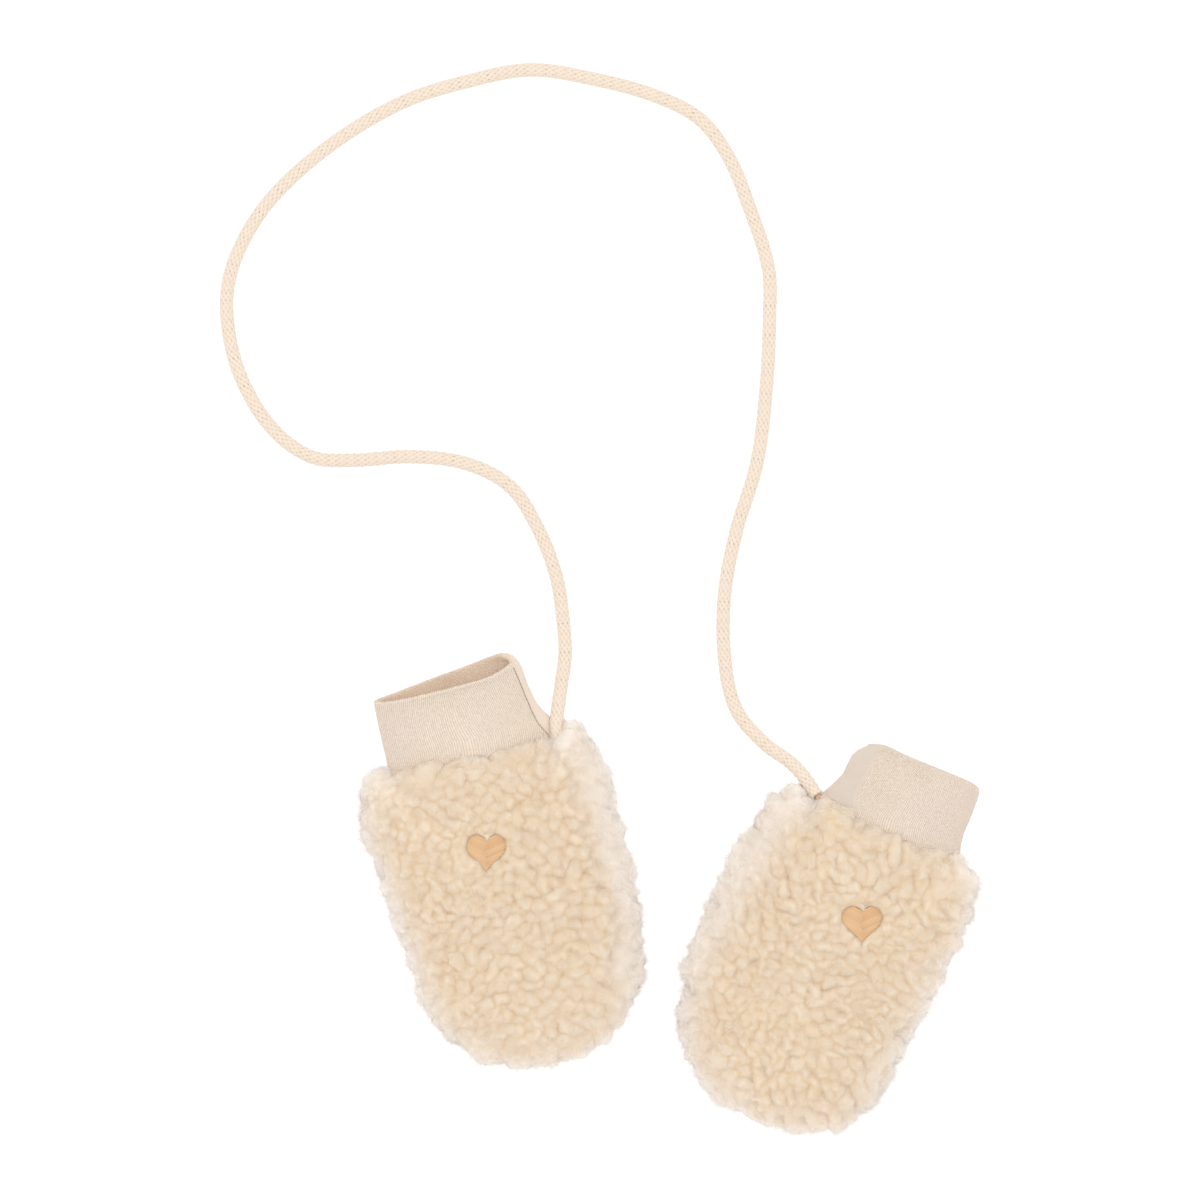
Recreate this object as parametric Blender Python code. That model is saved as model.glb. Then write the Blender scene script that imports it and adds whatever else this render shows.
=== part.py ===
"""A pair of baby mittens laid flat: two curly-pile bags with jersey cuffs, joined by a braided cord.

Each mitten is a back panel and a palm panel of thick pile cloth, sewn together round the edge,
and a doubled jersey cuff set into the open end.  Each is drawn flat in its own frame, with
"across" to its right and "along" from its closed tip towards its cuff, and is then turned and
laid in place.  The surface that the pair lies on is z = 0.  Sizes are in metres.
"""

import math
from collections import namedtuple

import bmesh
import bpy
from mathutils import Vector, geometry, noise

MM = 0.001

# The gap left between pieces that are sewn together.
SEAM_GAP = 0.3 * MM

# Heights above the surface: the plane of the edge seam, the top of the pile, and the hollow for
# the hand between the two panels.
SEAM_HEIGHT = 11.0 * MM
PILE_TOP = 26.0 * MM
HOLLOW_FLOOR = 5.8 * MM
HOLLOW_CEILING = 17.0 * MM

# How the panels round off: the power of the crown's section, and how much of the palm is flat.
CROWN_POWER = 4
PALM_FLATNESS = 1.2

# The panels' inner side, as rings at these shares of the way from the middle to the edge. The
# cloth is a solid rim outside RIM_SHARE, and the hollow has its full height inside FULL_SHARE.
INNER_RINGS = (0.87, 0.79, 0.62, 0.3)
RIM_SHARE = 0.87
FULL_SHARE = 0.62
BACK_CELLS = 36
PALM_CELLS = 22

# The curls of the pile, as low rounded tufts: how far apart they are, how high, how wide each one
# is as a share of the pitch, and how sharply they turn outwards towards the edge.
TUFT_PITCH = 9.5 * MM
TUFT_HEIGHT = 1.8 * MM
TUFT_SPREAD = 0.7
TUFT_TURN = 6

# The dip in the pile round the sewn-on motif.
DIP_DEPTH = 2.4 * MM
DIP_RADIUS = 7.0 * MM

# The cuff: a flattened tube of doubled jersey, with the reach of its rounded rim fold, and how
# late along the cuff the slant of its rim begins.
CUFF_WALL = 2.0 * MM
CUFF_SQUARENESS = 2.6
CUFF_POINTS = 32
CUFF_RINGS = 8
FOLD_REACH = 0.8 * MM
RIM_BLEND = 3

# The channel that the cuff sits in: its gap round the cuff, how far it runs on into the hollow,
# and how many of the cuff's rings it passes on its way out over the edge.
CHANNEL_GAP = 0.4 * MM
CHANNEL_INWARD = 16.0 * MM
CHANNEL_RINGS = 4

# The cord, as a tube through this many points.
CORD_DIAMETER = 5.0 * MM
CORD_POINTS = 78
CORD_ROUNDNESS = 2

# The fineness of the smooth curves, between two given points and all the way round an edge.
CURVE_STEPS = 12
EDGE_STEPS = 720

Place = namedtuple("Place", "across along")
CuffRow = namedtuple("CuffRow", "along left right low high")
Mitten = namedtuple("Mitten", "name x y turn middle motif edge cuff rim_slant upper_rim")

# The edge of the left mitten's pile panels in millimetres, from the tip up its right side, over
# the mouth with a notch for the cord, and down its left side.
LEFT_EDGE = (
    Place(7, -62),
    Place(21, -58.5),
    Place(32.5, -51.5),
    Place(40.5, -41),
    Place(46, -27),
    Place(49.5, -8),
    Place(50.8, 14),
    Place(51.5, 34),
    Place(50.3, 49),
    Place(47.8, 57.5),
    Place(44.6, 61.6),
    Place(41.8, 60.4),
    Place(39.8, 56),
    Place(37, 53.2),
    Place(33, 55.6),
    Place(29.5, 57.8),
    Place(14, 59.2),
    Place(-3, 60.5),
    Place(-18, 62.2),
    Place(-28, 64.3),
    Place(-35, 64.8),
    Place(-40.3, 61),
    Place(-43.6, 51.5),
    Place(-44.2, 34),
    Place(-42.8, 10),
    Place(-41.5, -14),
    Place(-39.6, -30),
    Place(-34, -43),
    Place(-24, -53),
    Place(-9, -60),
)

# The same for the right mitten, whose notch is on its left side.
RIGHT_EDGE = (
    Place(-8, -69),
    Place(13, -66.5),
    Place(26.5, -61),
    Place(32.5, -52.5),
    Place(37, -41),
    Place(39.2, -25),
    Place(41.8, -8),
    Place(44, 8),
    Place(45, 26),
    Place(44.5, 39),
    Place(42, 47.5),
    Place(36.5, 51),
    Place(29, 51.8),
    Place(16, 51.8),
    Place(2, 52.8),
    Place(-10, 54.8),
    Place(-19, 55.2),
    Place(-23, 53.8),
    Place(-26.6, 51),
    Place(-30.6, 52.6),
    Place(-34.2, 55),
    Place(-38.8, 53.3),
    Place(-43.8, 42),
    Place(-48, 26),
    Place(-50.3, 8),
    Place(-51.5, -10),
    Place(-50.5, -26),
    Place(-47, -40),
    Place(-40.5, -51),
    Place(-32.5, -60),
    Place(-24, -66.5),
)

# The cuffs in millimetres: how far along, the left and right sides, the lowest and highest point.
LEFT_CUFF = (
    CuffRow(52.5, -27.5, 33.3, 6.4, 16.2),
    CuffRow(58.5, -28.3, 34.2, 6.4, 16.2),
    CuffRow(63, -28.6, 34.8, 6.2, 16.2),
    CuffRow(67.5, -28.4, 34.6, 5.8, 16.2),
    CuffRow(72, -28.2, 33.4, 5.2, 16.2),
    CuffRow(79, -28.0, 31.7, 4.4, 16.2),
    CuffRow(87, -27.5, 30.9, 3.6, 16.1),
    CuffRow(91.2, -26.7, 29.2, 3.2, 16.0),
)
RIGHT_CUFF = (
    CuffRow(45.5, -22.6, 33.0, 6.4, 16.2),
    CuffRow(52, -23.4, 33.6, 6.4, 16.2),
    CuffRow(57, -23.4, 33.3, 6.1, 16.2),
    CuffRow(61, -21.8, 33.0, 5.6, 16.4),
    CuffRow(67, -19.6, 33.0, 4.7, 16.7),
    CuffRow(73, -18.4, 32.8, 3.8, 17.0),
    CuffRow(77, -16.2, 32.4, 3.0, 17.2),
    CuffRow(79.3, -12.6, 31.8, 2.6, 17.2),
)

# Where each mitten lies and how far it is turned, in millimetres and degrees. "middle" is the
# middle of its hand space. rim_slant is how much further out the cuff's right corner reaches than
# its middle, and upper_rim how much further its upper layer does.
MITTENS = (
    Mitten("left", -61.2, -6.2, 16, Place(3.5, 0), Place(-1, 24), LEFT_EDGE, LEFT_CUFF, 1.8, -5.6),
    Mitten("right", 61.6, -23.3, -20, Place(-4, -7), Place(6.3, 16), RIGHT_EDGE, RIGHT_CUFF, -1.4, 0.8),
)

# The cord's middle line in millimetres, from the left mitten to the right one: out of the notch
# beside the cuff, down to the surface, round in one open loop and up to the other notch.
CORD_ROUTE = (
    (-41.5, 58.8, 13.5),
    (-42.4, 64.6, 12.2),
    (-41.7, 71.0, 9.4),
    (-40.5, 79.8, 5.0),
    (-39.1, 90.7, 2.9),
    (-39.9, 104.0, 2.6),
    (-42.5, 120.7, 2.6),
    (-49.5, 138.9, 2.6),
    (-60.1, 154.9, 2.6),
    (-77.0, 163.7, 2.6),
    (-98.0, 166.3, 2.6),
    (-120.8, 164.9, 2.6),
    (-136.1, 166.3, 2.6),
    (-150.5, 176.6, 2.6),
    (-161.3, 193.2, 2.6),
    (-167.1, 211.5, 2.6),
    (-167.8, 231.3, 2.6),
    (-161.5, 249.5, 2.6),
    (-149.1, 267.2, 2.6),
    (-126.9, 286.4, 2.6),
    (-100.8, 301.7, 2.6),
    (-75.2, 309.8, 2.6),
    (-52.4, 313.9, 2.6),
    (-29.6, 310.7, 2.6),
    (-4.8, 304.0, 2.6),
    (12.4, 295.0, 2.6),
    (23.5, 280.2, 2.6),
    (31.0, 262.0, 2.6),
    (38.4, 238.5, 2.6),
    (38.9, 219.9, 2.6),
    (37.7, 193.3, 2.6),
    (34.1, 164.0, 2.6),
    (26.3, 138.2, 2.6),
    (21.7, 113.5, 2.6),
    (21.8, 88.8, 2.6),
    (26.2, 69.8, 2.7),
    (36.9, 56.9, 3.6),
    (46.2, 50.2, 7.2),
    (51.3, 44.9, 10.8),
    (56.5, 37.3, 13.6),
)


# ---------------------------------------------------------------- curves


def smooth_curve(points, closed):
    """Many points along a smooth curve through the given ones, with a handle at each."""
    count = len(points)

    def handle(index):
        before = points[(index - 1) % count] if closed or index > 0 else points[index]
        after = points[(index + 1) % count] if closed or index < count - 1 else points[index]
        return (after - before).normalized()

    curve = []
    for index in range(count if closed else count - 1):
        start = points[index]
        end = points[(index + 1) % count]
        reach = (end - start).length / 3
        curve += geometry.interpolate_bezier(
            start,
            start + handle(index) * reach,
            end - handle((index + 1) % count) * reach,
            end,
            CURVE_STEPS,
        )[:-1]
    curve.append(points[0] if closed else points[-1])
    return curve


def evenly_along(curve, count):
    """The given number of points, evenly spaced from the curve's start to its end."""
    lengths = [0.0]
    for start, end in zip(curve, curve[1:]):
        lengths.append(lengths[-1] + (end - start).length)
    picked = []
    segment = 0
    for index in range(count):
        wanted = lengths[-1] * index / (count - 1)
        while segment < len(curve) - 2 and lengths[segment + 1] < wanted:
            segment += 1
        share = (wanted - lengths[segment]) / (lengths[segment + 1] - lengths[segment])
        picked.append(curve[segment].lerp(curve[segment + 1], share))
    return picked


def between_rows(rows, along):
    """The cuff's left, right, low and high sides at a place along it."""
    for near, far in zip(rows, rows[1:]):
        if along <= far.along:
            break
    share = min(max((along - near.along) / (far.along - near.along), 0), 1)
    return [a + (b - a) * share for a, b in zip(near[1:], far[1:])]


# ---------------------------------------------------------------- the pile panels


class Panels:
    """The outline that a mitten's back and palm panels share."""

    def __init__(self, mitten):
        self.mitten = mitten
        corners = [Vector((place.across, place.along, 0)) * MM for place in mitten.edge]
        self.edge = evenly_along(smooth_curve(corners, closed=True), EDGE_STEPS + 1)
        self.middle = Vector((mitten.middle.across, mitten.middle.along, 0)) * MM

    def edge_point(self, disc):
        """The point of the edge in the direction of a point of the round disc.

        The edge starts at the tip, a quarter turn before the disc's own start.
        """
        step = (math.atan2(disc.y, disc.x) / math.tau + 0.25) % 1.0 * EDGE_STEPS
        below = int(step)
        return self.edge[below].lerp(self.edge[min(below + 1, EDGE_STEPS)], step - below)

    def spread(self, disc):
        """A point of the round disc, spread out to the panel's outline."""
        return self.middle.lerp(self.edge_point(disc), disc.to_2d().length)


def inner_offset(share, hollow_reach):
    """How far a panel's inner side stands off the seam plane: a rim all round, then the hollow."""
    rise = min(max((RIM_SHARE - share) / (RIM_SHARE - FULL_SHARE), 0), 1)
    return max(SEAM_GAP / 2, hollow_reach * math.sin(rise * math.pi / 2))


def tuft(place, seed):
    """The height of the rounded tufts at this place, from 0 between them to 1 on top."""
    spot = Vector((place.x / TUFT_PITCH, place.y / TUFT_PITCH, seed))
    distance = noise.voronoi(spot)[0][0]
    return max(0.0, 1 - (distance / TUFT_SPREAD) ** 2)


def crown(share):
    """The rounded section from the middle, 1, to the edge, 0."""
    return math.sqrt(max(0.0, 1 - share**CROWN_POWER))


def disc_shell(cells):
    """A closed double disc of radius 1: a grid squeezed round, and rings folded back under it.

    The vertex layer "inner" is 1 on the rings.
    """
    mesh = bmesh.new()
    inner = mesh.verts.layers.int.new("inner")
    bmesh.ops.create_grid(mesh, x_segments=cells, y_segments=cells, size=1.0)
    for vert in mesh.verts:
        x, y = vert.co.x, vert.co.y
        vert.co.x = x * math.sqrt(1 - y * y / 2)
        vert.co.y = y * math.sqrt(1 - x * x / 2)
    rim = [edge for edge in mesh.edges if edge.is_boundary]
    for share in INNER_RINGS:
        grown = bmesh.ops.extrude_edge_only(mesh, edges=rim)["geom"]
        rim = [item for item in grown if isinstance(item, bmesh.types.BMEdge)]
        for vert in (item for item in grown if isinstance(item, bmesh.types.BMVert)):
            vert.co = vert.co.normalized() * share
            vert[inner] = 1
    grown = bmesh.ops.extrude_edge_only(mesh, edges=rim)["geom"]
    last = [item for item in grown if isinstance(item, bmesh.types.BMVert)]
    for vert in last:
        vert[inner] = 1
    bmesh.ops.pointmerge(mesh, verts=last, merge_co=(0, 0, 0))
    return mesh


def back_panel(mitten):
    """The upper panel: domed pile on top, hollow below, with a lip over the cuff."""
    panels = Panels(mitten)
    mesh = disc_shell(BACK_CELLS)
    inner = mesh.verts.layers.int["inner"]
    motif = Vector((mitten.motif.across, mitten.motif.along, 0)) * MM
    edge_height = SEAM_HEIGHT + SEAM_GAP / 2
    for vert in mesh.verts:
        disc = vert.co.copy()
        share = disc.length
        place = panels.spread(disc)
        if vert[inner]:
            height = SEAM_HEIGHT + inner_offset(share, HOLLOW_CEILING - SEAM_HEIGHT)
            vert.co = place + Vector((0, 0, height))
            continue
        edge = panels.edge_point(disc)
        height = edge_height + (PILE_TOP - edge_height) * crown(share)
        height -= DIP_DEPTH * math.exp(-(((place - motif).length / DIP_RADIUS) ** 2))
        sideways = share**TUFT_TURN
        curl = TUFT_HEIGHT * tuft(place, mitten.turn)
        outward = (edge - panels.middle).normalized() * sideways
        vert.co = place + Vector((0, 0, height)) + (outward + Vector((0, 0, 1 - sideways))) * curl
    return mesh


def palm_panel(mitten):
    """The lower panel: flat where it lies on the surface, and rounded up to the seam."""
    panels = Panels(mitten)
    mesh = disc_shell(PALM_CELLS)
    inner = mesh.verts.layers.int["inner"]
    edge_height = SEAM_HEIGHT - SEAM_GAP / 2
    for vert in mesh.verts:
        disc = vert.co.copy()
        share = disc.length
        place = panels.spread(disc)
        if vert[inner]:
            height = SEAM_HEIGHT - inner_offset(share, SEAM_HEIGHT - HOLLOW_FLOOR)
            vert.co = place + Vector((0, 0, height))
            continue
        edge = panels.edge_point(disc)
        height = edge_height * (1 - min(1, PALM_FLATNESS * crown(share)))
        curl = TUFT_HEIGHT * tuft(place, mitten.turn) * share**TUFT_TURN
        vert.co = place + Vector((0, 0, height)) + (edge - panels.middle).normalized() * curl
    return mesh


# ---------------------------------------------------------------- the cuffs


def cuff_stations(cuff):
    """The places along a cuff where it has a ring of points."""
    start, end = cuff[0].along, cuff[-1].along
    return [start + (end - start) * step / (CUFF_RINGS - 1) for step in range(CUFF_RINGS)]


def lay_ring(verts, mitten, along, inset, reach=0.0):
    """Moves a ring of points to its place along the cuff, that far inside the cuff's outside."""
    rows = mitten.cuff
    left, right, low, high = between_rows(rows, along)
    opened = ((along - rows[0].along) / (rows[-1].along - rows[0].along)) ** RIM_BLEND
    for index, vert in enumerate(verts):
        angle = math.tau * index / CUFF_POINTS
        side = math.copysign(abs(math.cos(angle)) ** (2 / CUFF_SQUARENESS), math.cos(angle))
        rise = math.copysign(abs(math.sin(angle)) ** (2 / CUFF_SQUARENESS), math.sin(angle))
        shift = mitten.rim_slant * side + mitten.upper_rim * max(0, math.sin(angle))
        vert.co.x = ((left + right) / 2 + side * (right - left) / 2) * MM - side * inset
        vert.co.y = (along + shift * opened) * MM + reach
        vert.co.z = ((low + high) / 2 + rise * (high - low) / 2) * MM - rise * inset


def grow_ring(mesh, edges):
    """Extrudes a ring of edges, and returns the new ring's points in order, and its edges."""
    mesh.verts.index_update()
    grown = bmesh.ops.extrude_edge_only(mesh, edges=edges)["geom"]
    mesh.verts.index_update()
    verts = [item for item in grown if isinstance(item, bmesh.types.BMVert)]
    verts.sort(key=lambda vert: vert.index)
    return verts, [item for item in grown if isinstance(item, bmesh.types.BMEdge)]


def cuff_tube(mitten):
    """A flattened tube with a folded rim, slipped under the lip of the pile."""
    stations = cuff_stations(mitten.cuff)
    mesh = bmesh.new()
    ring = bmesh.ops.create_circle(mesh, segments=CUFF_POINTS, radius=1.0)["verts"]
    first_edges = list(mesh.edges)
    edges = first_edges
    lay_ring(ring, mitten, stations[0], 0)
    passes = [(along, 0, 0) for along in stations[1:]]
    passes.append((stations[-1], CUFF_WALL / 2, FOLD_REACH))
    passes += [(along, CUFF_WALL, 0) for along in reversed(stations)]
    for along, inset, reach in passes:
        ring, edges = grow_ring(mesh, edges)
        lay_ring(ring, mitten, along, inset, reach)
    bmesh.ops.bridge_loops(mesh, edges=first_edges + edges)
    return mesh


def cuff_channel(mitten):
    """A solid plug, a little larger than the cuff, that clears the cuff's way in."""
    stations = cuff_stations(mitten.cuff)
    mesh = bmesh.new()
    ring = bmesh.ops.create_circle(mesh, segments=CUFF_POINTS, radius=1.0, cap_ends=True)["verts"]
    edges = list(mesh.edges)
    lay_ring(ring, mitten, stations[0], -CHANNEL_GAP, -CHANNEL_INWARD)
    for along in stations[:CHANNEL_RINGS]:
        ring, edges = grow_ring(mesh, edges)
        lay_ring(ring, mitten, along, -CHANNEL_GAP)
    bmesh.ops.contextual_create(mesh, geom=edges)
    return mesh


# ---------------------------------------------------------------- materials and objects


def material(name, colour, roughness):
    cloth = bpy.data.materials.new(name)
    cloth.use_nodes = True
    shader = cloth.node_tree.nodes["Principled BSDF"]
    shader.inputs["Base Color"].default_value = (*colour, 1)
    shader.inputs["Roughness"].default_value = roughness
    shader.inputs["Metallic"].default_value = 0
    return cloth


def add_object(name, data, cloth, parent=None):
    data.materials.append(cloth)
    item = bpy.data.objects.new(name, data)
    item.parent = parent
    bpy.context.scene.collection.objects.link(item)
    return item


def mesh_data(name, mesh):
    """Turns a bmesh into mesh data with its faces outwards and its round sides smooth."""
    bmesh.ops.recalc_face_normals(mesh, faces=mesh.faces)
    if mesh.calc_volume(signed=True) < 0:
        bmesh.ops.reverse_faces(mesh, faces=mesh.faces)
    data = bpy.data.meshes.new(name)
    mesh.to_mesh(data)
    mesh.free()
    data.shade_smooth()
    return data


def cord_data():
    """The cord as a round tube, flat at both ends."""
    route = [Vector(point) * MM for point in CORD_ROUTE]
    points = evenly_along(smooth_curve(route, closed=False), CORD_POINTS)
    data = bpy.data.curves.new("cord", "CURVE")
    data.dimensions = "3D"
    data.bevel_depth = CORD_DIAMETER / 2
    data.bevel_resolution = CORD_ROUNDNESS
    data.use_fill_caps = True
    spline = data.splines.new("POLY")
    spline.points.add(len(points) - 1)
    for knot, point in zip(spline.points, points):
        knot.co = (*point, 1)
    return data


def build():
    for item in list(bpy.data.objects):
        bpy.data.objects.remove(item)
    pile = material("pile_cloth", (0.86, 0.76, 0.62), 0.95)
    jersey = material("cuff_jersey", (0.80, 0.70, 0.57), 0.9)
    braid = material("cord_cotton", (0.93, 0.78, 0.58), 0.85)
    for mitten in MITTENS:
        stand = bpy.data.objects.new(mitten.name + "_mitten", None)
        stand.location = (mitten.x * MM, mitten.y * MM, 0)
        stand.rotation_euler.z = math.radians(mitten.turn)
        bpy.context.scene.collection.objects.link(stand)
        channel_name = mitten.name + "_cuff_channel"
        channel = add_object(channel_name, mesh_data(channel_name, cuff_channel(mitten)), jersey, stand)
        channel.hide_render = True
        channel.display_type = "WIRE"
        for piece, make in (("back_panel", back_panel), ("palm_panel", palm_panel)):
            name = mitten.name + "_" + piece
            panel = add_object(name, mesh_data(name, make(mitten)), pile, stand)
            cut = panel.modifiers.new("cuff channel", "BOOLEAN")
            cut.operation = "DIFFERENCE"
            cut.object = channel
        name = mitten.name + "_cuff"
        add_object(name, mesh_data(name, cuff_tube(mitten)), jersey, stand)
    add_object("cord", cord_data(), braid)


build()
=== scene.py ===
# %% [markdown]
# # A pair of baby mittens on a cord
#
# Two small bags of curly pile cloth, each with a jersey cuff, joined by a braided cotton cord
# that runs through a coat's sleeves so that neither mitten gets lost. They have no thumb, because
# a baby's hand is only kept warm in them, not used.
#
# The checked solids are loaded first and are never moved. Every soft solid is then replaced by a
# piece that looks like its cloth, in the same place and of the same size.

# %% Load the frame
import math

import bmesh
import bpy
import numpy as np
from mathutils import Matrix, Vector, geometry, kdtree, noise


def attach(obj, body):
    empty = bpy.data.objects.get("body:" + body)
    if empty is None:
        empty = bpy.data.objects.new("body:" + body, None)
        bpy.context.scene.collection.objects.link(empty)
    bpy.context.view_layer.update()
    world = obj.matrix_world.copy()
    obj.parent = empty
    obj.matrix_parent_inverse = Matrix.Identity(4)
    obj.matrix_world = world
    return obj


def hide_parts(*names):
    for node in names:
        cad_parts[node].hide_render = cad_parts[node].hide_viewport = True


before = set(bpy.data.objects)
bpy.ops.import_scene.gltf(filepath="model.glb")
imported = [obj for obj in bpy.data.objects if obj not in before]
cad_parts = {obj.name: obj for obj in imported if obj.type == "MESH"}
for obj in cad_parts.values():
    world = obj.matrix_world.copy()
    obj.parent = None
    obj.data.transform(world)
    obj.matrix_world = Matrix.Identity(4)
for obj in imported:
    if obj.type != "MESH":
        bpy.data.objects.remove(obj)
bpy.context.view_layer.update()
MM = 0.001
BODY = "root"
print("solids:", sorted(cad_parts))

# %% [markdown]
# ## The camera
#
# The pair lies on a table and is looked at from straight above, so the camera looks down -Z. Baby
# clothes are usually shot with a long lens from a couple of metres up, which keeps both mittens
# free of distortion. The lens is worked out from the width of the field at the height of the
# edge seams, as a photographer would frame it.

# %% Camera straight above
FIELD_WIDTH = 456 * MM
FIELD_MIDDLE = Vector((-25.8, 111.6, 11.0)) * MM
CAMERA_RISE = 2.0
SENSOR_WIDTH = 36.0

camera_data = bpy.data.cameras.new("camera")
camera_data.sensor_width = SENSOR_WIDTH
camera_data.lens = SENSOR_WIDTH * CAMERA_RISE / FIELD_WIDTH
camera_data.clip_start = 0.1
camera_data.clip_end = 20.0
camera = bpy.data.objects.new("camera", camera_data)
camera.location = FIELD_MIDDLE + Vector((0, 0, CAMERA_RISE))
bpy.context.scene.collection.objects.link(camera)
bpy.context.scene.camera = camera
print("lens:", round(camera_data.lens, 1), "mm")

# %% [markdown]
# ## Smooth curves
#
# The outlines and the cord are drawn as a few points with a smooth curve through them, like a
# Bezier curve with automatic handles. Each stretch gets handles a third as long as itself, which
# keeps the curve from swinging out. The curve is then walked in even steps, so that whatever is
# built on it has even faces.


# %% Curves through a few points
def smooth_curve(points, closed=False, steps=12):
    """A fine polyline, as an array, along a smooth curve through the points."""
    points = [Vector(point) for point in points]
    count = len(points)
    tangents = []
    for index in range(count):
        before = points[index - 1] if closed or index else points[0]
        after = points[(index + 1) % count] if closed or index < count - 1 else points[-1]
        tangents.append((after - before).normalized())
    curve = []
    for index in range(count if closed else count - 1):
        start, end = points[index], points[(index + 1) % count]
        reach = (end - start).length / 3
        first = start + tangents[index] * reach
        second = end - tangents[(index + 1) % count] * reach
        curve += geometry.interpolate_bezier(start, first, second, end, steps)[:-1]
    curve.append(points[0] if closed else points[-1])
    return np.array([tuple(point) for point in curve])


def evenly_along(curve, count):
    """The given number of points, evenly spaced from the curve's start to its end."""
    steps = np.linalg.norm(np.diff(curve, axis=0), axis=1)
    lengths = np.concatenate([[0], np.cumsum(steps)])
    wanted = np.linspace(0, lengths[-1], count)
    return np.stack([np.interp(wanted, lengths, curve[:, axis]) for axis in range(3)], axis=1)


def unit(vectors):
    """The same vectors with a length of 1."""
    return vectors / np.maximum(np.linalg.norm(vectors, axis=-1, keepdims=True), 1e-9)


corners = [(0, 0, 0), (1, 0, 0), (1, 1, 0), (0, 1, 0)]
print("points on a closed curve through four corners:", len(smooth_curve(corners, closed=True)))

# %% [markdown]
# ## Rolled grids and finished objects
#
# A cord and a cuff are both a sheet that is rolled up, so both start as a flat grid. The grid
# brings its own UV map, then its points are moved to where they belong, and the two edges that
# meet are welded. That is much faster than thousands of small extrusions, and the pattern
# follows the roll for free.


# %% A flat grid and its points
def flat_grid(across, along):
    """A bmesh grid with a UV map, and each point's place in it, from 0 to 1 both ways."""
    mesh = bmesh.new()
    mesh.loops.layers.uv.new("cloth")
    bmesh.ops.create_grid(mesh, x_segments=across, y_segments=along, size=1.0, calc_uvs=True)
    places = np.array([vert.co[:2] for vert in mesh.verts]) / 2 + 0.5
    return mesh, places


def move_points(mesh, points):
    """Moves all the points of a bmesh, given in millimetres."""
    for vert, point in zip(mesh.verts, (points * MM).tolist()):
        vert.co = point


sample_grid, sample_places = flat_grid(2, 3)
print("a grid of 2 by 3 faces has", len(sample_places), "points")
sample_grid.free()

# %% [markdown]
# A finished piece is an object at the origin, unturned and unscaled, with its place in its mesh.
# It rides on the one body that the solids are in. What its material needs to know of each point,
# such as how deep in a crease it lies, is stored with the mesh.


# %% Finished pieces
def finished(name, mesh):
    """Makes the object of a bmesh: faces outwards, smooth, riding on the frame's one body."""
    bmesh.ops.recalc_face_normals(mesh, faces=mesh.faces)
    data = bpy.data.meshes.new(name)
    mesh.to_mesh(data)
    mesh.free()
    return placed(name, data)


def placed(name, data, smooth=True):
    """Puts a mesh in the scene as a piece of that name."""
    if smooth:
        data.shade_smooth()
    else:
        data.shade_flat()
    item = bpy.data.objects.new(name, data)
    bpy.context.scene.collection.objects.link(item)
    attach(item, BODY)
    data.calc_loop_triangles()
    print(name, len(data.loop_triangles), "triangles")
    return item


def keep_value(item, name, values):
    """Stores one number for each point of a piece, for its material to read."""
    layer = item.data.attributes.new(name, "FLOAT", "POINT")
    layer.data.foreach_set("value", np.asarray(values, dtype=np.float32))


print("every piece rides on:", BODY)

# %% [markdown]
# ## The cord
#
# The cord is a round diamond braid of 5 mm: eight yarns wind one way and eight the other, and
# each passes over one and under the next. It leaves the seam beside the left cuff, drops to the
# table, makes one wide open loop and goes back into the seam beside the right cuff. All of it
# shows, so its length is simply the length of this route.
#
# Sixteen separate yarns would cost a lot of faces for something that is nearly a tube. Here the
# tube's radius follows the yarns instead: at each point the yarn that lies on top sets the height.

# %% The cord's route, in millimetres
CORD_ROUTE = (
    (-41.5, 58.8, 13.5),
    (-42.4, 64.6, 12.2),
    (-41.7, 71.0, 9.4),
    (-40.5, 79.8, 5.0),
    (-39.1, 90.7, 2.9),
    (-39.9, 104.0, 2.6),
    (-42.5, 120.7, 2.6),
    (-49.5, 138.9, 2.6),
    (-60.1, 154.9, 2.6),
    (-77.0, 163.7, 2.6),
    (-98.0, 166.3, 2.6),
    (-120.8, 164.9, 2.6),
    (-136.1, 166.3, 2.6),
    (-150.5, 176.6, 2.6),
    (-161.3, 193.2, 2.6),
    (-167.1, 211.5, 2.6),
    (-167.8, 231.3, 2.6),
    (-161.5, 249.5, 2.6),
    (-149.1, 267.2, 2.6),
    (-126.9, 286.4, 2.6),
    (-100.8, 301.7, 2.6),
    (-75.2, 309.8, 2.6),
    (-52.4, 313.9, 2.6),
    (-29.6, 310.7, 2.6),
    (-4.8, 304.0, 2.6),
    (12.4, 295.0, 2.6),
    (23.5, 280.2, 2.6),
    (31.0, 262.0, 2.6),
    (38.4, 238.5, 2.6),
    (38.9, 219.9, 2.6),
    (37.7, 193.3, 2.6),
    (34.1, 164.0, 2.6),
    (26.3, 138.2, 2.6),
    (21.7, 113.5, 2.6),
    (21.8, 88.8, 2.6),
    (26.2, 69.8, 2.7),
    (36.9, 56.9, 3.6),
    (46.2, 50.2, 7.2),
    (51.3, 44.9, 10.8),
    (56.5, 37.3, 13.6),
)
print("points on the route:", len(CORD_ROUTE))

# %% The yarns of the braid
CORD_DIAMETER = 5.0
YARNS_EACH_WAY = 8
BRAID_LEAD = 22.4
YARN_THICKNESS = 0.42
YARN_SWING = 0.30
YARN_BULGE = 0.2
HIGHEST_YARN = YARN_THICKNESS + YARN_SWING


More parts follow.
